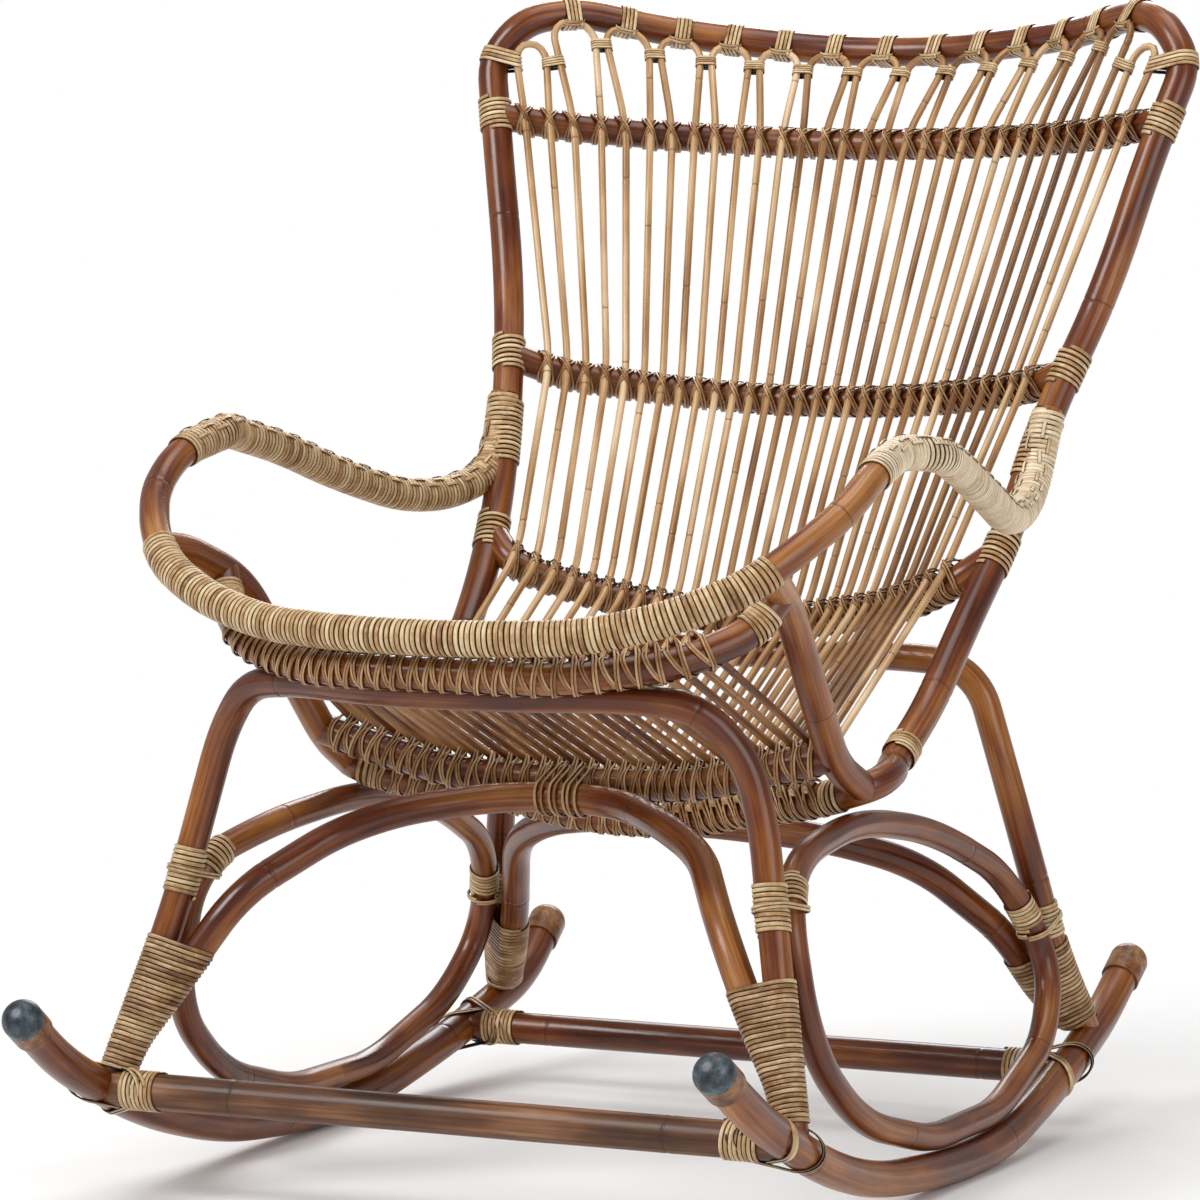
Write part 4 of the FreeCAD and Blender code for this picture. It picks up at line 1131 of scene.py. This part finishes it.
# One way lies higher than the other, and the two strands of a pair lie these shares of a width off its middle
tie_rises = ((1, 0.0011), (-1, 0.0003))
tie_offsets = (-0.52, 0.52)

# From this angle on, a strand has left the rod
rod_angle = 1.2

# Turns over the front brace
brace_turns = 7
brace_turn_step = 0.006
brace_turn_slant = (0.006, 0.012)


def crossed_tie(piece, rail, middle, outward, along, rod_way, half_cross):
    """Two strands one way and two the other, that cross over the rod."""
    upward = unit(np.cross(along, outward))
    slope = rod_way.dot(along) / rod_way.dot(upward)
    angles = np.linspace(-math.pi, math.pi, tie_points, endpoint=False)
    far = np.abs(angles)
    inner = np.sin(angles / tie_top_angle * math.pi / 2)
    outer = np.sign(angles) * np.cos((far - tie_top_angle) / (math.pi - tie_top_angle) * math.pi / 2)
    swing = np.where(far < tie_top_angle, inner, outer)
    axis_height = rail.radius + rod_gap + rod_radius
    for hand, raised in tie_rises:
        for offset in tie_offsets:
            side = hand * half_cross * swing + offset * tie_width
            over = np.sqrt(np.clip(rod_radius ** 2 - side ** 2, 0, None))
            on_rod = (np.abs(side) < rod_radius) & (far < rod_angle)
            reach = np.where(on_rod, axis_height / np.maximum(0.3, np.cos(angles)) + over, rail.radius)
            profile = np.stack([np.sin(angles), np.cos(angles)], axis=1) * (reach + raised)[:, None]
            kept = taut(profile)
            lateral = side + slope * rail.radius * np.sin(angles)
            line = middle + along * lateral[kept, None] + upward * profile[kept, :1] + outward * profile[kept, 1:]
            line = spaced(np.vstack([line, line[:1]]), tie_step)[:-1]
            spoke = line - middle
            piece.strand(line, spoke - np.outer(spoke @ along, along), tie_width, tie_thick, closed=True)


def rail_ties(piece):
    for tie in tie_places:
        crossed_tie(piece, *tie, tie_cross + random.uniform(-tie_scatter, tie_scatter))
    brace_middle = front_brace.at_side(0, front_brace_half[-1])
    for turn in range(brace_turns):
        start = brace_middle + right * (brace_turn_step * (turn - 4))
        lashed(piece, front_brace, rear_rail, start, start + right * random.uniform(*brace_turn_slant), 1, 0.003,
               lift=0.0012 + 0.0006 * (turn % 2))


cane_piece("rail_tie_strands", "rail_cross_ties", rail_ties, material=tie_material)


# Ties of the hairpins to the top rail and the posts, and of neighbours to each other
rod_tie_turns = 4
top_tie_reach = 0.0072
post_tie_reach = 0.007
top_tie_width = 0.0034
top_tie_thick = 0.0012
waist_half = 0.0094
waist_heights = (0.0006, 0.0031)
waist_points = 48
waist_front = rod_radius + 0.0017
waist_rear = rod_radius - 0.0002
waist_width = 0.0025
waist_thick = 0.001
pair_tie_length = 0.0095
pair_tie_width = 0.0024
pair_tie_thick = 0.001


def waist(piece, centre, along, front, height):
    """A strand round the turns of a tie, in front of the rod and behind it."""
    angles = np.linspace(0, 2 * math.pi, waist_points, endpoint=False)
    upward = np.cross(along, front)
    upward = upward * math.copysign(1, upward[2])
    deep = np.where(np.sin(angles) > 0, waist_front, waist_rear) * np.sin(angles)
    line = centre + upward * height + np.outer(np.cos(angles) * waist_half, along) + np.outer(deep, front)
    outwards = np.outer(np.cos(angles), along) + np.outer(np.sin(angles), front)
    piece.strand(line, outwards, waist_width, waist_thick, closed=True)


def top_ties(piece):
    for index, rod in zip(loop_indices, hairpins):
        if abs(index) == last_loop:
            post = hoop.at_height(end_loop_tie_share * frame_height, post_near * (math.copysign(1, index), 1, 1))
            heading = hoop.crossing(post, up)[1] * post_tie_reach
            lashed(piece, hoop, rod, post + heading, post - heading, rod_tie_turns, top_tie_width, top_tie_thick)
            continue
        middle, along = top_rail_at(sum(loop_edges[index + last_loop - 1:index + last_loop + 1]) / 2)
        lashed(piece, hoop, rod, middle - along * top_tie_reach, middle + along * top_tie_reach, rod_tie_turns,
               top_tie_width, top_tie_thick)
        centre = rod.crossing(middle, along)[0]
        for height in waist_heights:
            waist(piece, centre, along, square_to(centre - middle, along), height)


def pair_ties(piece):
    for legs, others, rod, neighbour in zip(hairpin_legs, hairpin_legs[1:], hairpins, hairpins[1:]):
        below, top = legs[1][-2:]
        down = unit(below - top)
        start = top + down * (pair_tie_drop + max(0, (others[0][-1] - top).dot(down)))
        lashed(piece, rod, neighbour, start, start + down * pair_tie_length, rod_tie_turns, pair_tie_width,
               pair_tie_thick)


cane_piece("top_rail_tie_strands", "top_rail_ties", top_ties)
cane_piece("spindle_pair_tie_strands", "spindle_pair_ties", pair_ties)

# Caps and nails keep the frame's shapes
nail_finish = Finish("nail_steel", Roughness=0.4, Metallic=1.0)
nail_place = nail_finish.node("ShaderNodeTexCoord", {}).outputs["Object"]
nail_finish.set("Base Color", nail_finish.cloudy(nail_place, 400.0, 4.0, 0.6, (0.35, 0.65), "5d5852 9a948c")[1])
for name, material in (("front_tip_cap_left", dark_cap_material), ("front_tip_cap_right", dark_cap_material),
                       ("rear_tip_cap_left", brown_cap_material), ("rear_tip_cap_right", brown_cap_material),
                       ("frame_nails", nail_finish.material)):
    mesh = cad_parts[name].data
    mesh.materials.clear()
    mesh.materials.append(material)


# Floor, backdrop, lights and camera
def stage_material():
    """White floor: it shades near the chair and is plain white further away."""
    finish = Finish("stage_white", Base_Color=(0.9, 0.9, 0.9, 1.0), Roughness=0.9, Specular_IOR_Level=0.1)
    x, y, _ = finish.split(finish.node("ShaderNodeNewGeometry", {}).outputs["Position"])
    flat = finish.vector(x, y, 0.0)
    far = finish.node("ShaderNodeVectorMath", {0: flat}, operation="LENGTH").outputs["Value"]
    far = finish.ramp(finish.times(far, 0.5, clamp=True), [(0.30, 0.0), (0.75, 1.0)], True)
    path = finish.node("ShaderNodeLightPath", {})
    seen = finish.math("ADD", path.outputs["Is Camera Ray"], path.outputs["Is Glossy Ray"])
    seen = finish.math("ADD", seen, path.outputs["Is Transmission Ray"], clamp=True)
    white = finish.node("ShaderNodeEmission", {"Color": (1, 1, 1, 1), "Strength": 1.0})
    both = finish.node("ShaderNodeMixShader", {0: finish.times(far, seen), 1: finish.shader.outputs[0],
                                               2: white.outputs[0]})
    finish.feed(finish.tree.nodes["Material Output"].inputs["Surface"], both.outputs[0])
    return finish.material


def added(name, data):
    made = bpy.data.objects.new(name, data)
    bpy.context.scene.collection.objects.link(made)
    return made


floor_half = 30.0
floor_corners = [(x * floor_half, y * floor_half, 0) for x, y in ((-1, -1), (1, -1), (1, 1), (-1, 1))]
floor_mesh = bpy.data.meshes.new("floor")
floor_mesh.from_pydata(floor_corners, [], [(0, 1, 2, 3)])
floor_mesh.materials.append(stage_material())
added("floor", floor_mesh)

world = bpy.data.worlds.new("studio")
world.use_nodes = True
bpy.context.scene.world = world
tree = world.node_tree
lit = tree.nodes["Background"]
shown = tree.nodes.new("ShaderNodeBackground")
for background, strength in ((lit, 0.40), (shown, 1.0)):
    background.inputs["Color"].default_value = (1.0, 1.0, 1.0, 1.0)
    background.inputs["Strength"].default_value = strength
ray = tree.nodes.new("ShaderNodeLightPath")
mixed = tree.nodes.new("ShaderNodeMixShader")
for output, socket in ((ray.outputs["Is Camera Ray"], mixed.inputs[0]), (lit.outputs[0], mixed.inputs[1]),
                       (shown.outputs[0], mixed.inputs[2]),
                       (mixed.outputs[0], tree.nodes["World Output"].inputs["Surface"])):
    tree.links.new(output, socket)


def aimed(made, spot, heading):
    """Puts a lamp or the camera at a spot, turned to face a heading."""
    made.location = spot
    made.rotation_mode = "QUATERNION"
    made.rotation_quaternion = Vector(heading).to_track_quat("-Z", "Y")


def lamp(name, spot, size, power):
    data = bpy.data.lights.new(name, "AREA")
    data.shape = "RECTANGLE"
    data.size, data.size_y = size
    data.energy = power
    aimed(added(name, data), spot, chair_middle - np.array(spot))


chair_middle = np.array((0.0, 0.0, 0.5))
lamp("key_light", (-1.6, -2.6, 3.0), (1.6, 1.6), 88)
lamp("fill_light", (3.0, -1.6, 1.6), (1.8, 1.8), 30)
lamp("rear_light", (-1.0, 3.0, 2.2), (2.0, 1.2), 45)
lamp("top_light", (0.3, 0.2, 3.4), (2.0, 2.0), 35)

# Camera, from the photograph's viewpoint
view_way = np.array((0.42758, -0.89918, 0.09309))
view_distance = 5.3279
view_target = np.array((0.0, 0.427 + shift, 0.469))
camera_data = bpy.data.cameras.new("camera")
camera_data.lens = 195.0
camera_data.sensor_width = 36.0
camera = added("camera", camera_data)
aimed(camera, view_target + view_way * view_distance, -view_way)
bpy.context.scene.camera = camera
bpy.context.scene.view_settings.view_transform = "Standard"
